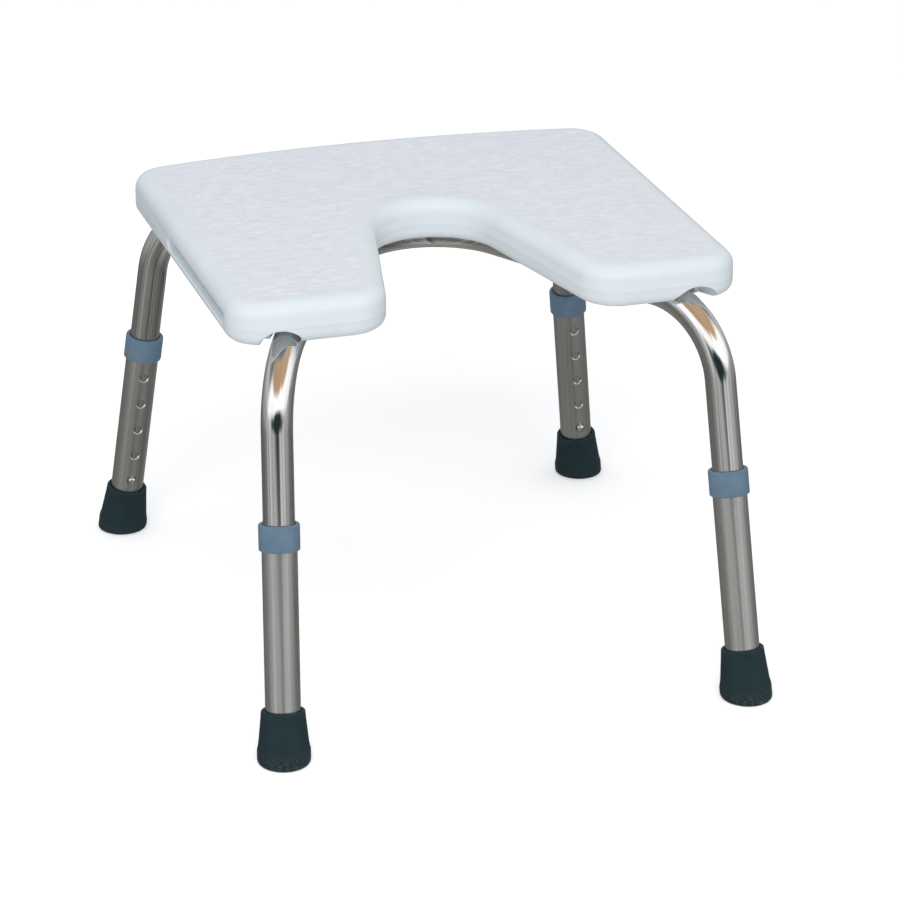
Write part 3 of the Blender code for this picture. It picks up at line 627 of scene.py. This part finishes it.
def finish_nodes(tree, geometry, material):
    real = wired(tree, "GeometryNodeRealizeInstances", i0=geometry)
    coated = wired(tree, "GeometryNodeSetMaterial", Geometry=real.outputs[0], Material=material)
    wired(tree, "NodeGroupOutput", i0=coated.outputs[0])


def grow(piece, tree, **sizes):
    """Gives the piece the tree with its sizes set, and keeps the result as a plain mesh."""
    modifier = piece.modifiers.new(tree.name, "NODES")
    modifier.node_group = tree
    for socket in tree.interface.items_tree:
        key = socket.name.replace(" ", "_").lower()
        if socket.in_out == "INPUT" and key in sizes:
            modifier[socket.identifier] = sizes.pop(key)
    if sizes:
        raise ValueError("no input for %s" % sorted(sizes))
    return bake(piece)


def store(tree, geometry, name, kind, value):
    node = wired(tree, "GeometryNodeStoreNamedAttribute", {"data_type": kind, "domain": "POINT"},
                 Geometry=geometry, Name=name)
    tree.links.new(value, next(s for s in node.inputs if s.name == "Value" and s.enabled))
    return node.outputs[0]


def read(tree, name, kind):
    node = wired(tree, "GeometryNodeInputNamedAttribute", {"data_type": kind}, Name=name)
    return node.outputs[0]


def walled(tree, skin, wall):
    """Gives an open outer skin an inner wall and closed ends."""
    inner = wired(tree, "GeometryNodeExtrudeMesh", Mesh=skin, Individual=False,
                  Offset_Scale=sums(tree, "MULTIPLY", wall, -1.0))
    turned_in = wired(tree, "GeometryNodeFlipFaces", i0=inner)
    both = wired(tree, "GeometryNodeJoinGeometry")
    tree.links.new(turned_in.outputs[0], both.inputs[0])
    tree.links.new(skin, both.inputs[0])
    return wired(tree, "GeometryNodeMergeByDistance", Geometry=both, Distance=1e-6).outputs[0]


def bent_tube_nodes():
    """A round tube that follows a path of joined points."""
    tree, size = new_nodes("Bent tube", {"Radius": "Float", "Wall": "Float", "Sides": "Int",
                                         "Finish": "Material"})
    path = wired(tree, "GeometryNodeMeshToCurve", i0=size["Geometry"]).outputs[0]
    along = wired(tree, "GeometryNodeSplineParameter").outputs["Length"]
    path = store(tree, path, "along", "FLOAT", along)
    ring = wired(tree, "GeometryNodeCurvePrimitiveCircle", Resolution=size["Sides"],
                 Radius=size["Radius"]).outputs[0]
    ring = store(tree, ring, "ring", "FLOAT_VECTOR",
                 wired(tree, "GeometryNodeInputPosition").outputs[0])
    skin = wired(tree, "GeometryNodeCurveToMesh", Curve=path, Profile_Curve=ring).outputs[0]
    tube = walled(tree, skin, size["Wall"])
    round_place = wired(tree, "ShaderNodeSeparateXYZ", i0=read(tree, "ring", "FLOAT_VECTOR"))
    own = wired(tree, "ShaderNodeCombineXYZ", i0=round_place.outputs[0],
                i1=round_place.outputs[1], i2=read(tree, "along", "FLOAT"))
    tube = store(tree, tube, "own_place", "FLOAT_VECTOR", own.outputs[0])
    finish_nodes(tree, tube, size["Finish"])
    return tree


def leg_tube_nodes():
    """A straight leg tube with a row of equal holes, each with its rim eased by a short cone."""
    tree, size = new_nodes("Leg tube with holes", {
        "Radius": "Float", "Wall": "Float", "Bottom": "Float", "Top": "Float",
        "Hole radius": "Float", "Hole ease": "Float", "First hole": "Float",
        "Hole pitch": "Float", "Hole count": "Int", "Sides": "Int", "Finish": "Material"})
    low = wired(tree, "ShaderNodeCombineXYZ", i2=size["Bottom"])
    high = wired(tree, "ShaderNodeCombineXYZ", i2=size["Top"])
    line = wired(tree, "GeometryNodeCurvePrimitiveLine", Start=low, End=high)
    line = wired(tree, "GeometryNodeResampleCurve", Curve=line, Count=2)
    ring = wired(tree, "GeometryNodeCurvePrimitiveCircle", Resolution=size["Sides"],
                 Radius=size["Radius"])
    skin = wired(tree, "GeometryNodeCurveToMesh", Curve=line, Profile_Curve=ring).outputs[0]
    tube = walled(tree, skin, size["Wall"])
    first = wired(tree, "ShaderNodeCombineXYZ", i1=size["Radius"], i2=size["First hole"])
    step = wired(tree, "ShaderNodeCombineXYZ", i2=size["Hole pitch"])
    row = wired(tree, "GeometryNodeMeshLine", {"mode": "OFFSET"}, Count=size["Hole count"],
                Start_Location=first, Offset=step)
    bore = wired(tree, "GeometryNodeMeshCylinder", Vertices=HOLE_SIDES, Radius=size["Hole radius"],
                 Depth=size["Radius"])
    flare, depth, drop = [sums(tree, "MULTIPLY", size["Hole ease"], times)
                          for times in (3.0, 4.0, -1.35)]
    sink = wired(tree, "GeometryNodeMeshCone", Vertices=HOLE_SIDES,
                 Radius_Top=size["Hole radius"], Depth=depth,
                 Radius_Bottom=sums(tree, "ADD", size["Hole radius"], flare))
    sink = wired(tree, "GeometryNodeTransform", Geometry=sink,
                 Translation=wired(tree, "ShaderNodeCombineXYZ", i2=drop))
    tools = wired(tree, "GeometryNodeMeshBoolean", {"operation": "UNION", "solver": "EXACT"})
    tree.links.new(sink.outputs[0], tools.inputs["Mesh 2"])
    tree.links.new(bore.outputs[0], tools.inputs["Mesh 2"])
    drills = wired(tree, "GeometryNodeInstanceOnPoints", Points=row, Instance=tools,
                   Rotation=(pi / 2, 0, 0))
    drills = wired(tree, "GeometryNodeRealizeInstances", i0=drills)
    drilled = wired(tree, "GeometryNodeMeshBoolean", {"operation": "DIFFERENCE", "solver": "EXACT"},
                    i0=tube)
    tree.links.new(drills.outputs[0], drilled.inputs["Mesh 2"])
    own = store(tree, drilled.outputs[0], "own_place", "FLOAT_VECTOR",
                wired(tree, "GeometryNodeInputPosition").outputs[0])
    finish_nodes(tree, own, size["Finish"])
    return tree


def scatter_nodes():
    """Copies of one small piece, each standing on its own point."""
    tree, size = new_nodes("Fixings on points", {"Pattern": "Object", "Finish": "Material"})
    piece = wired(tree, "GeometryNodeObjectInfo", Object=size["Pattern"]).outputs["Geometry"]
    piece = store(tree, piece, "own_place", "FLOAT_VECTOR",
                  wired(tree, "GeometryNodeInputPosition").outputs[0])
    copies = wired(tree, "GeometryNodeInstanceOnPoints", Points=size["Geometry"], Instance=piece)
    finish_nodes(tree, copies.outputs[0], size["Finish"])
    return tree


def tread_nodes():
    """Rings one inside the other, to press a tread into a sole."""
    tree, size = new_nodes("Sole tread", {
        "First radius": "Float", "Ring pitch": "Float", "Ring count": "Int",
        "Groove width": "Float", "Groove depth": "Float", "Finish": "Material"})
    row = wired(tree, "GeometryNodeMeshLine", {"mode": "OFFSET"}, Count=size["Ring count"],
                Offset=(0, 0, 0)).outputs[0]
    number = wired(tree, "GeometryNodeInputIndex").outputs[0]
    step = sums(tree, "MULTIPLY", number, size["Ring pitch"])
    reach = sums(tree, "ADD", step, size["First radius"])
    circle = wired(tree, "GeometryNodeCurvePrimitiveCircle", Resolution=64, Radius=1.0)
    rings = wired(tree, "GeometryNodeInstanceOnPoints", Points=row, Instance=circle, Scale=reach)
    rings = wired(tree, "GeometryNodeRealizeInstances", i0=rings)
    groove = wired(tree, "GeometryNodeCurvePrimitiveQuadrilateral", i0=size["Groove width"],
                   i1=size["Groove depth"])
    bands = wired(tree, "GeometryNodeCurveToMesh", Curve=rings, Profile_Curve=groove)
    finish_nodes(tree, bands.outputs[0], size["Finish"])
    return tree


BENT_TUBE = bent_tube_nodes()
LEG_TUBE = leg_tube_nodes()
FIXINGS = scatter_nodes()
SOLE_TREAD = tread_nodes()


def bridge(bm, rings):
    """Walls from each ring of points to the next, and a flat cap on each end."""
    count = len(rings[0])
    for a, b in zip(rings, rings[1:]):
        for k in range(count):
            bm.faces.new((a[k], a[(k + 1) % count], b[(k + 1) % count], b[k]))
    bm.faces.new(list(reversed(rings[0])))
    bm.faces.new(rings[-1])
    bmesh.ops.recalc_face_normals(bm, faces=bm.faces)


def path_object(name, points):
    bm = bmesh.new()
    verts = [bm.verts.new(p) for p in points]
    for pair in zip(verts, verts[1:]):
        bm.edges.new(pair)
    return mesh_object(name, bm)


def rod(name, points, radius, sides=48):
    """A solid round rod along a path, for cutting."""
    bm = bmesh.new()
    rings = []
    for i, point in enumerate(points):
        back = points[max(i - 1, 0)]
        on = points[min(i + 1, len(points) - 1)]
        axis = (on - back).normalized()
        side = axis.cross(Vector((0, 0, 1))).normalized()
        up = side.cross(axis)
        rings.append([bm.verts.new(point + (side * cos(2 * pi * k / sides)
                                            + up * sin(2 * pi * k / sides)) * radius)
                      for k in range(sides)])
    bridge(bm, rings)
    return mesh_object(name, bm)


def cylinder(name, radius, low, high, sides=32, matrix=Matrix()):
    bm = bmesh.new()
    place = matrix @ Matrix.Translation((0, 0, (low + high) / 2))
    bmesh.ops.create_cone(bm, cap_ends=True, segments=sides, radius1=radius, radius2=radius,
                          depth=high - low, matrix=place)
    return mesh_object(name, bm)


# Where the legs, buttons and tubes stand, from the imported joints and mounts

JOINTS = {j["name"]: j for j in frame["joints"]}
SOLES = {m["name"][5:]: Vector(m["pos_m"]) for m in frame["record"]["mounts"]
         if m["name"].startswith("sole_")}


def leg_matrix(tag):
    """The leg's frame: origin where its axis meets the floor, Z up the leg, Y to the holes."""
    up = -Vector(JOINTS["leg_slide_" + tag]["axis"]).normalized()
    out = Vector((0, 1 if tag[0] == "F" else -1, 0))
    out = (out - up * out.dot(up)).normalized()
    axes = Matrix((out.cross(up), out, up)).transposed().to_4x4()
    return Matrix.Translation(SOLES[tag]) @ axes


LEGS = {tag: leg_matrix(tag) for tag in CORNERS}


def tangent_apex(corner, centre_y, radius, facing):
    """Where a straight run from the corner, touching the middle arc, meets the stool's middle."""
    toward = Vector((-corner.x, (centre_y - corner.y) * facing))
    heading = atan2(toward.x, toward.y) - asin(radius / toward.length)
    return Vector((0, corner.y + toward.x / tan(heading) * facing, corner.z))


def mirror(place):
    return Vector((-place.x, place.y, place.z))


def hoop_route(end, bend, centre_y, arc, facing):
    """The hoop's left corner, the point its runs aim at, its middle arc and its whole path."""
    left, right = LEGS[end + "L"], LEGS[end + "R"]
    foot, up = left.translation, left.col[2].to_3d()
    corner = foot + up * (RUN_HEIGHT / up.z)
    apex = tangent_apex(corner, centre_y, arc, facing)
    low = LOWEST_HOLE - HOOP_BELOW_HOLE
    ends = [left @ Vector((0, 0, low)), right @ Vector((0, 0, low))]
    path = rounded([ends[0], corner, apex, mirror(corner), ends[1]], [0, bend, arc, bend, 0],
                   [0, LEG_BEND_STEPS, HOOP_ARC_STEPS, LEG_BEND_STEPS, 0], False)
    return corner, apex, arc, path


REAR_CENTRE = CUTOUT_CENTRE + FRONT_HOOP_ARC + 2 * HOOP_RADIUS + HOOPS_APART + REAR_HOOP_ARC
HOOPS = {
    "front_hoop": ("F", FRONT_LEG_BEND, CUTOUT_CENTRE, FRONT_HOOP_ARC, 1),
    "rear_hoop": ("R", REAR_LEG_BEND, REAR_CENTRE, REAR_HOOP_ARC, -1),
}
ROUTES = {name: hoop_route(*facts) for name, facts in HOOPS.items()}
SCREW_PLACES = []
for number in range(1, SCREW_COUNT + 1):
    low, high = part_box("seat_screw_%d" % number)
    SCREW_PLACES.append(((low.x + high.x) / 2, (low.y + high.y) / 2))


# Seat

def seat_outline(inset):
    """The U-shaped outline, counter-clockwise, set in from the edge by the inset."""
    half = SEAT_WIDTH / 2 - inset
    front = SEAT_FRONT + inset
    bow_radius = ((SEAT_WIDTH / 2) ** 2 + BACK_BOW ** 2) / (2 * BACK_BOW)
    bow_centre = SEAT_BACK + BACK_BOW - bow_radius
    bow_radius -= inset
    reach = asin(half / bow_radius)
    peak = CUTOUT_CENTRE + (CUTOUT_RADIUS + inset) / sin(CUTOUT_FLARE)
    mouth = (peak - front) * tan(CUTOUT_FLARE)
    corners = [Vector((mouth, front, 0)), Vector((half, front, 0))]
    radii = [MOUTH_CORNER_RADIUS - inset, FRONT_CORNER_RADIUS - inset]
    steps = [CORNER_STEPS, CORNER_STEPS]
    bow = [BOW_SHARE - 2 * BOW_SHARE * k / BOW_STEPS for k in range(BOW_STEPS + 1)]
    bow = [1, *bow, -1]
    for share in bow:
        angle = reach * share
        corners.append(Vector((bow_radius * sin(angle), bow_centre + bow_radius * cos(angle), 0)))
        radii.append(BACK_CORNER_RADIUS - inset if abs(share) == 1 else 0)
        steps.append(CORNER_STEPS)
    corners += [Vector((-half, front, 0)), Vector((-mouth, front, 0)), Vector((0, peak, 0))]
    radii += [FRONT_CORNER_RADIUS - inset, MOUTH_CORNER_RADIUS - inset, CUTOUT_RADIUS + inset]
    steps += [CORNER_STEPS, CORNER_STEPS, CUTOUT_STEPS]
    return rounded(corners, radii, steps, True)


def seat_shell():
    """The moulded outside of the seat, ring by ring from the underside to the embossed field."""
    low, high = BOTTOM_EDGE_RADIUS, TOP_EDGE_RADIUS
    parting = SEAT_BOTTOM + SEAT_THICKNESS * PARTING_SHARE
    profile = [(low * (1 - sin(a)), SEAT_BOTTOM + low * (1 - cos(a)), 0) for a in QUARTER_TURN]
    profile += [(0, parting - PARTING_HALF_WIDTH, 0), (-PARTING_PROUD, parting, 0),
                (0, parting + PARTING_HALF_WIDTH, 0)]
    profile += [(high * (1 - cos(a)), SEAT_HEIGHT - high * (1 - sin(a)), 0) for a in QUARTER_TURN]
    for share in (0, 0.15, 0.5, 0.85, 1):
        profile.append((FIELD_INSET + FIELD_STEP_WIDTH * (share - 0.5),
                        SEAT_HEIGHT - FIELD_STEP_DEPTH * share, share))
    bm = bmesh.new()
    field = bm.verts.layers.float.new("field")
    rings = []
    for inset, height, share in profile:
        ring = [bm.verts.new((p.x, p.y, height)) for p in seat_outline(inset)]
        for vertex in ring:
            vertex[field] = share
        rings.append(ring)
    bridge(bm, rings)
    return mesh_object("seat", bm, SEAT_WHITE)


def rounded_slot(name, inner, outer, y, z, ease):
    """A round-ended slot cutter across a side wall, wider by the ease at its outer end."""
    bm = bmesh.new()
    rings = []
    for x, grown in ((inner, 0), (outer, ease)):
        radius = (z[1] - z[0]) / 2 + grown
        middle = (z[0] + z[1]) / 2
        ring = []
        for end, start in ((y[1], -pi / 2), (y[0], pi / 2)):
            centre = end - radius + grown if end == y[1] else end + radius - grown
            for k in range(13):
                a = start + k * pi / 12
                ring.append(bm.verts.new((x, centre + radius * cos(a), middle + radius * sin(a))))
        rings.append(ring)
    bridge(bm, rings)
    return mesh_object(name, bm)


def build_seat():
    seat = seat_shell()
    cutters = []
    mouth_radius = HOOP_RADIUS + MOUTH_AROUND_TUBE
    mouth_top = SEAT_BOTTOM + CHANNEL_DEPTH + MOUTH_ABOVE_CHANNEL
    drop = Vector((0, 0, mouth_top - mouth_radius - RUN_HEIGHT))
    for corner, apex, arc, _ in ROUTES.values():
        outward = (corner - apex).normalized() * CHANNEL_PAST_CORNER
        run = rounded([corner + outward, apex, mirror(corner + outward)], [0, arc, 0],
                      [0, HOOP_ARC_STEPS, 0], False)
        cutters.append(rod("channel", run, CHANNEL_RADIUS))
        for place, out in ((corner, outward), (mirror(corner), mirror(outward))):
            inward = -out.normalized()
            wall = CORNER_TO_WALL / abs(inward.y) + MOUTH_INSIDE
            cutters.append(rod("mouth", [place + out + drop, place + inward * wall + drop],
                               mouth_radius))
    half = SEAT_WIDTH / 2
    y = (SEAT_FRONT + GRIP_FROM_FRONT, SEAT_FRONT + GRIP_FROM_FRONT + GRIP_LENGTH)
    z = (SEAT_BOTTOM + GRIP_LIP, SEAT_BOTTOM + GRIP_LIP + GRIP_HEIGHT)
    for side in (-1, 1):
        cutters.append(rounded_slot("grip", side * (half - GRIP_DEPTH),
                                    side * (half + CUT_BEYOND), y, z, 0.0))
        cutters.append(rounded_slot("grip ease", side * (half - GRIP_EASE),
                                    side * (half + GRIP_EASE), y, z, 2 * GRIP_EASE))
    roof = SEAT_BOTTOM + CHANNEL_DEPTH
    for x, y_place in SCREW_PLACES:
        matrix = Matrix.Translation((x, y_place, 0))
        cutters.append(cylinder("insert hole", INSERT_HOLE_RADIUS, roof - INSERT_HOLE_BELOW_ROOF,
                                roof + INSERT_HOLE_ABOVE_ROOF, 32, matrix))
    vent = Matrix.Translation((0, SEAT_BACK + BACK_BOW - VENT_FROM_BACK, 0))
    cutters.append(cylinder("vent", VENT_RADIUS, SEAT_BOTTOM - CUT_BEYOND,
                            SEAT_BOTTOM + VENT_DEPTH, 32, vent))
    cut(seat, *cutters)
    smooth(seat, 32)
    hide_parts("seat_panel")
    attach(seat, "frame")


# Tubes

def build_hoops():
    for name, (*_, path) in ROUTES.items():
        hoop = path_object(name.replace("hoop", "bent_tube"), path)
        grow(hoop, BENT_TUBE, radius=HOOP_RADIUS, wall=HOOP_WALL, sides=HOOP_SIDES,
             finish=BRIGHT_TUBE)
        smooth(hoop)
        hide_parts(name)
        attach(hoop, "frame")


def build_legs():
    for tag in CORNERS:
        leg = mesh_object("leg_" + tag, bmesh.new())
        grow(leg, LEG_TUBE, radius=LEG_RADIUS, wall=LEG_WALL, bottom=LEG_BOTTOM, top=LEG_TOP,
             hole_radius=HOLE_RADIUS, hole_ease=HOLE_EASE, first_hole=LOWEST_HOLE,
             hole_pitch=HOLE_PITCH, hole_count=HOLE_COUNT, sides=LEG_SIDES, finish=SATIN_LEG)
        clean(leg)
        place_mesh(leg, LEGS[tag])
        smooth(leg, 25)
        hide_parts("leg_tube_" + tag)
        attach(leg, "leg_" + tag)


def build_collars():
    base, r = COLLAR_TOP - COLLAR_HEIGHT, COLLAR_ROUND
    outside = [(COLLAR_RADIUS - r + r * sin(a), COLLAR_TOP - r + r * cos(a)) for a in QUARTER_TURN]
    low, lead = COLLAR_LOWER_ROUND, COLLAR_LEAD_IN
    bottom = [(COLLAR_RADIUS - low + low * cos(a), base + low - low * sin(a))
              for a in QUARTER_TURN[::2]]
    throat = [(COLLAR_THROAT, COLLAR_TOP - 3 * lead), (COLLAR_THROAT, COLLAR_TOP - lead),
              (COLLAR_THROAT + 0.3 * lead, COLLAR_TOP - 0.3 * lead),
              (COLLAR_THROAT + lead, COLLAR_TOP)]
    profile = throat + outside + bottom + [(SLEEVE, base), (SLEEVE, LEG_TOP + GAP),
                                           (COLLAR_THROAT, LEG_TOP + GAP)]
    for tag in CORNERS:
        collar = turned("grey_blue_collar_" + tag, profile, COLLAR_BLUE)
        place_mesh(collar, LEGS[tag])
        smooth(collar, 40)
        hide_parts("collar_" + tag)
        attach(collar, "leg_" + tag)


def round_sole_rim(foot, sole, share_of_radius=0.9, sharp=0.5):
    """Rounds the sharp outer edge that the ground has cut."""
    bm = bmesh.new()
    bm.from_mesh(foot.data)
    rim = [e for e in bm.edges if all(abs(v.co.z) < 1e-6 for v in e.verts)
           and all((v.co - sole).length > FOOT_SOLE_RADIUS * share_of_radius for v in e.verts)
           and len(e.link_faces) == 2 and e.calc_face_angle(0) > sharp]
    bmesh.ops.bevel(bm, geom=rim, offset=FOOT_SOLE_ROUND, segments=5, profile=0.5,
                    affect="EDGES")
    bm.to_mesh(foot.data)
    bm.free()


def build_feet():
    """Feet turned on their leg's axis, cut flat where they stand, with a ringed tread."""
    r, top = FOOT_RIM_ROUND, FOOT_TOP_RADIUS
    profile = [(SLEEVE, FOOT_HEIGHT - FOOT_LIP), (SLEEVE + FOOT_LIP / 3, FOOT_HEIGHT - FOOT_LIP / 3),
               (SLEEVE + FOOT_LIP, FOOT_HEIGHT)]
    profile += [(top - r + r * sin(a), FOOT_HEIGHT - r + r * cos(a)) for a in QUARTER_TURN]
    profile += [(top + FOOT_BAND_FLARE, FOOT_HEIGHT - FOOT_BAND),
                (FOOT_SOLE_RADIUS - FOOT_SHOULDER_IN, FOOT_SHOULDER_HEIGHT),
                (FOOT_SOLE_RADIUS, FOOT_FLARE_HEIGHT), (FOOT_SOLE_RADIUS, -FOOT_BELOW_FLOOR),
                (0, -FOOT_BELOW_FLOOR), (0, FOOT_SOLE_THICKNESS), (SLEEVE, FOOT_SOLE_THICKNESS)]
    for tag in CORNERS:
        foot = turned("rubber_foot_" + tag, profile, FOOT_RUBBER)
        foot.data.transform(LEGS[tag])
        cut(foot, cylinder("ground", GROUND_BLOCK, -GROUND_BLOCK, 0, 48,
                           Matrix.Translation(SOLES[tag])))
        round_sole_rim(foot, SOLES[tag])
        tread = mesh_object("tread", bmesh.new())
        grow(tread, SOLE_TREAD, first_radius=TREAD_FIRST_RADIUS, ring_pitch=TREAD_PITCH,
             ring_count=TREAD_COUNT, groove_width=TREAD_WIDTH, groove_depth=TREAD_DEPTH,
             finish=FOOT_RUBBER)
        tread.data.transform(Matrix.Translation(SOLES[tag]))
        cut(foot, tread)
        foot.data.transform(LEGS[tag].inverted())
        place_mesh(foot, LEGS[tag])
        smooth(foot, 40)
        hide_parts("foot_" + tag)
        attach(foot, "leg_" + tag)


def build_buttons():
    top = LEG_RADIUS + BUTTON_PROUD
    profile = [(BUTTON_RADIUS * sin(a), top - BUTTON_DOME * (1 - cos(a))) for a in QUARTER_TURN]
    profile += [(BUTTON_RADIUS, BUTTON_FLANGE_TOP), (BUTTON_FLANGE_RADIUS, BUTTON_FLANGE_TOP),
                (BUTTON_FLANGE_RADIUS, BUTTON_FLANGE_LOW), (0, BUTTON_FLANGE_LOW)]
    for tag in CORNERS:
        button = turned("snap_button_" + tag, profile, BUTTON_STEEL, 40)
        aim = Matrix.Translation((0, 0, LOWEST_HOLE)) @ Matrix.Rotation(-pi / 2, 4, "X")
        place_mesh(button, LEGS[tag] @ aim)
        smooth(button, 40)
        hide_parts("button_" + tag)
        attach(button, "snap_" + tag)


def on_screw_places(name, pattern, material):
    """One piece that holds a copy of the pattern at each screw."""
    bm = bmesh.new()
    for x, y in SCREW_PLACES:
        bm.verts.new((x, y, 0))
    piece = mesh_object(name, bm)
    grow(piece, FIXINGS, pattern=pattern, finish=material)
    bpy.data.objects.remove(pattern)
    return piece


def build_fixings():
    saddle_low = RUN_HEIGHT - CHANNEL_RADIUS - SADDLE_THICKNESS
    head_top = saddle_low - GAP
    head_low = head_top - SCREW_HEAD_HEIGHT
    tip = SEAT_BOTTOM + CHANNEL_DEPTH + SCREW_IN_SEAT
    r, ease = SCREW_HEAD_ROUND, SCREW_TIP_EASE
    head = [(SCREW_HEAD_RADIUS - r + r * cos(a), head_low + r - r * sin(a)) for a in QUARTER_TURN]
    profile = [(0, tip), (SCREW_RADIUS - ease, tip), (SCREW_RADIUS, tip - ease),
               (SCREW_RADIUS, head_top), (SCREW_HEAD_RADIUS, head_top), *head, (0, head_low)]
    screw = turned("screw pattern", profile, PLATED, 40)
    cut(screw, cylinder("socket", SOCKET_RADIUS, head_low - CUT_BEYOND, head_low + SOCKET_DEPTH, 6))
    screws = on_screw_places("seat_screws", screw, PLATED)
    smooth(screws, 30)
    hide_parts(*["seat_screw_%d" % n for n in range(1, SCREW_COUNT + 1)])
    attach(screws, "frame")

    saddle_high = RUN_HEIGHT - sqrt(CHANNEL_RADIUS ** 2 - SADDLE_RADIUS ** 2) + SADDLE_SPARE
    ease = SADDLE_EASE
    ring = [(SADDLE_RADIUS, saddle_high), (SADDLE_RADIUS, saddle_low + ease),
            (SADDLE_RADIUS - ease * 0.3, saddle_low + ease * 0.3),
            (SADDLE_RADIUS - ease, saddle_low), (SADDLE_BORE, saddle_low),
            (SADDLE_BORE, saddle_high)]
    saddle = turned("saddle pattern", ring, SADDLE_NYLON, 48)
    saddles = on_screw_places("tube_saddles", saddle, SADDLE_NYLON)
    cut(saddles, *[rod("tube", path[SADDLE_CUT_SKIPS:-SADDLE_CUT_SKIPS], CHANNEL_RADIUS, HOOP_SIDES)
                   for *_, path in ROUTES.values()])
    smooth(saddles, 35)
    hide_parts(*["saddle_washer_%d" % n for n in range(1, SCREW_COUNT + 1)])
    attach(saddles, "frame")


def build_springs():
    """Each V spring in two halves, cut across the leg: the arm half under the button and the back half."""
    for tag in CORNERS:
        halves = []
        for name, side in (("spring_arm_", 1), ("spring_back_", -1)):
            bm = bmesh.new()
            bm.from_mesh(frame["nodes"]["button_spring_" + tag].data)
            bm.transform(LEGS[tag].inverted())
            bmesh.ops.remove_doubles(bm, verts=bm.verts, dist=1e-6)
            bmesh.ops.bisect_plane(bm, geom=bm.verts[:] + bm.edges[:] + bm.faces[:],
                                   plane_co=(0, SPRING_SPLIT, 0), plane_no=(0, side, 0),
                                   clear_inner=True)
            bmesh.ops.holes_fill(bm, edges=[e for e in bm.edges if e.is_boundary])
            bmesh.ops.recalc_face_normals(bm, faces=bm.faces)
            half = mesh_object(name + tag, bm, SPRING_STEEL)
            place_mesh(half, LEGS[tag])
            smooth(half)
            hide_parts("button_spring_" + tag)
            halves.append(half)
        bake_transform(halves[0])
        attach(halves[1], "frame")


def coat_hidden_parts():
    finishes = {"seat_insert": INSERT_BRASS, "foot_washer": PLATED_CAD}
    for name, node in frame["nodes"].items():
        for start, material in finishes.items():
            if name.startswith(start):
                for slot in node.material_slots:
                    slot.material = material


build_seat()
build_hoops()
build_legs()
build_collars()
build_feet()
build_buttons()
build_fixings()
build_springs()
coat_hidden_parts()
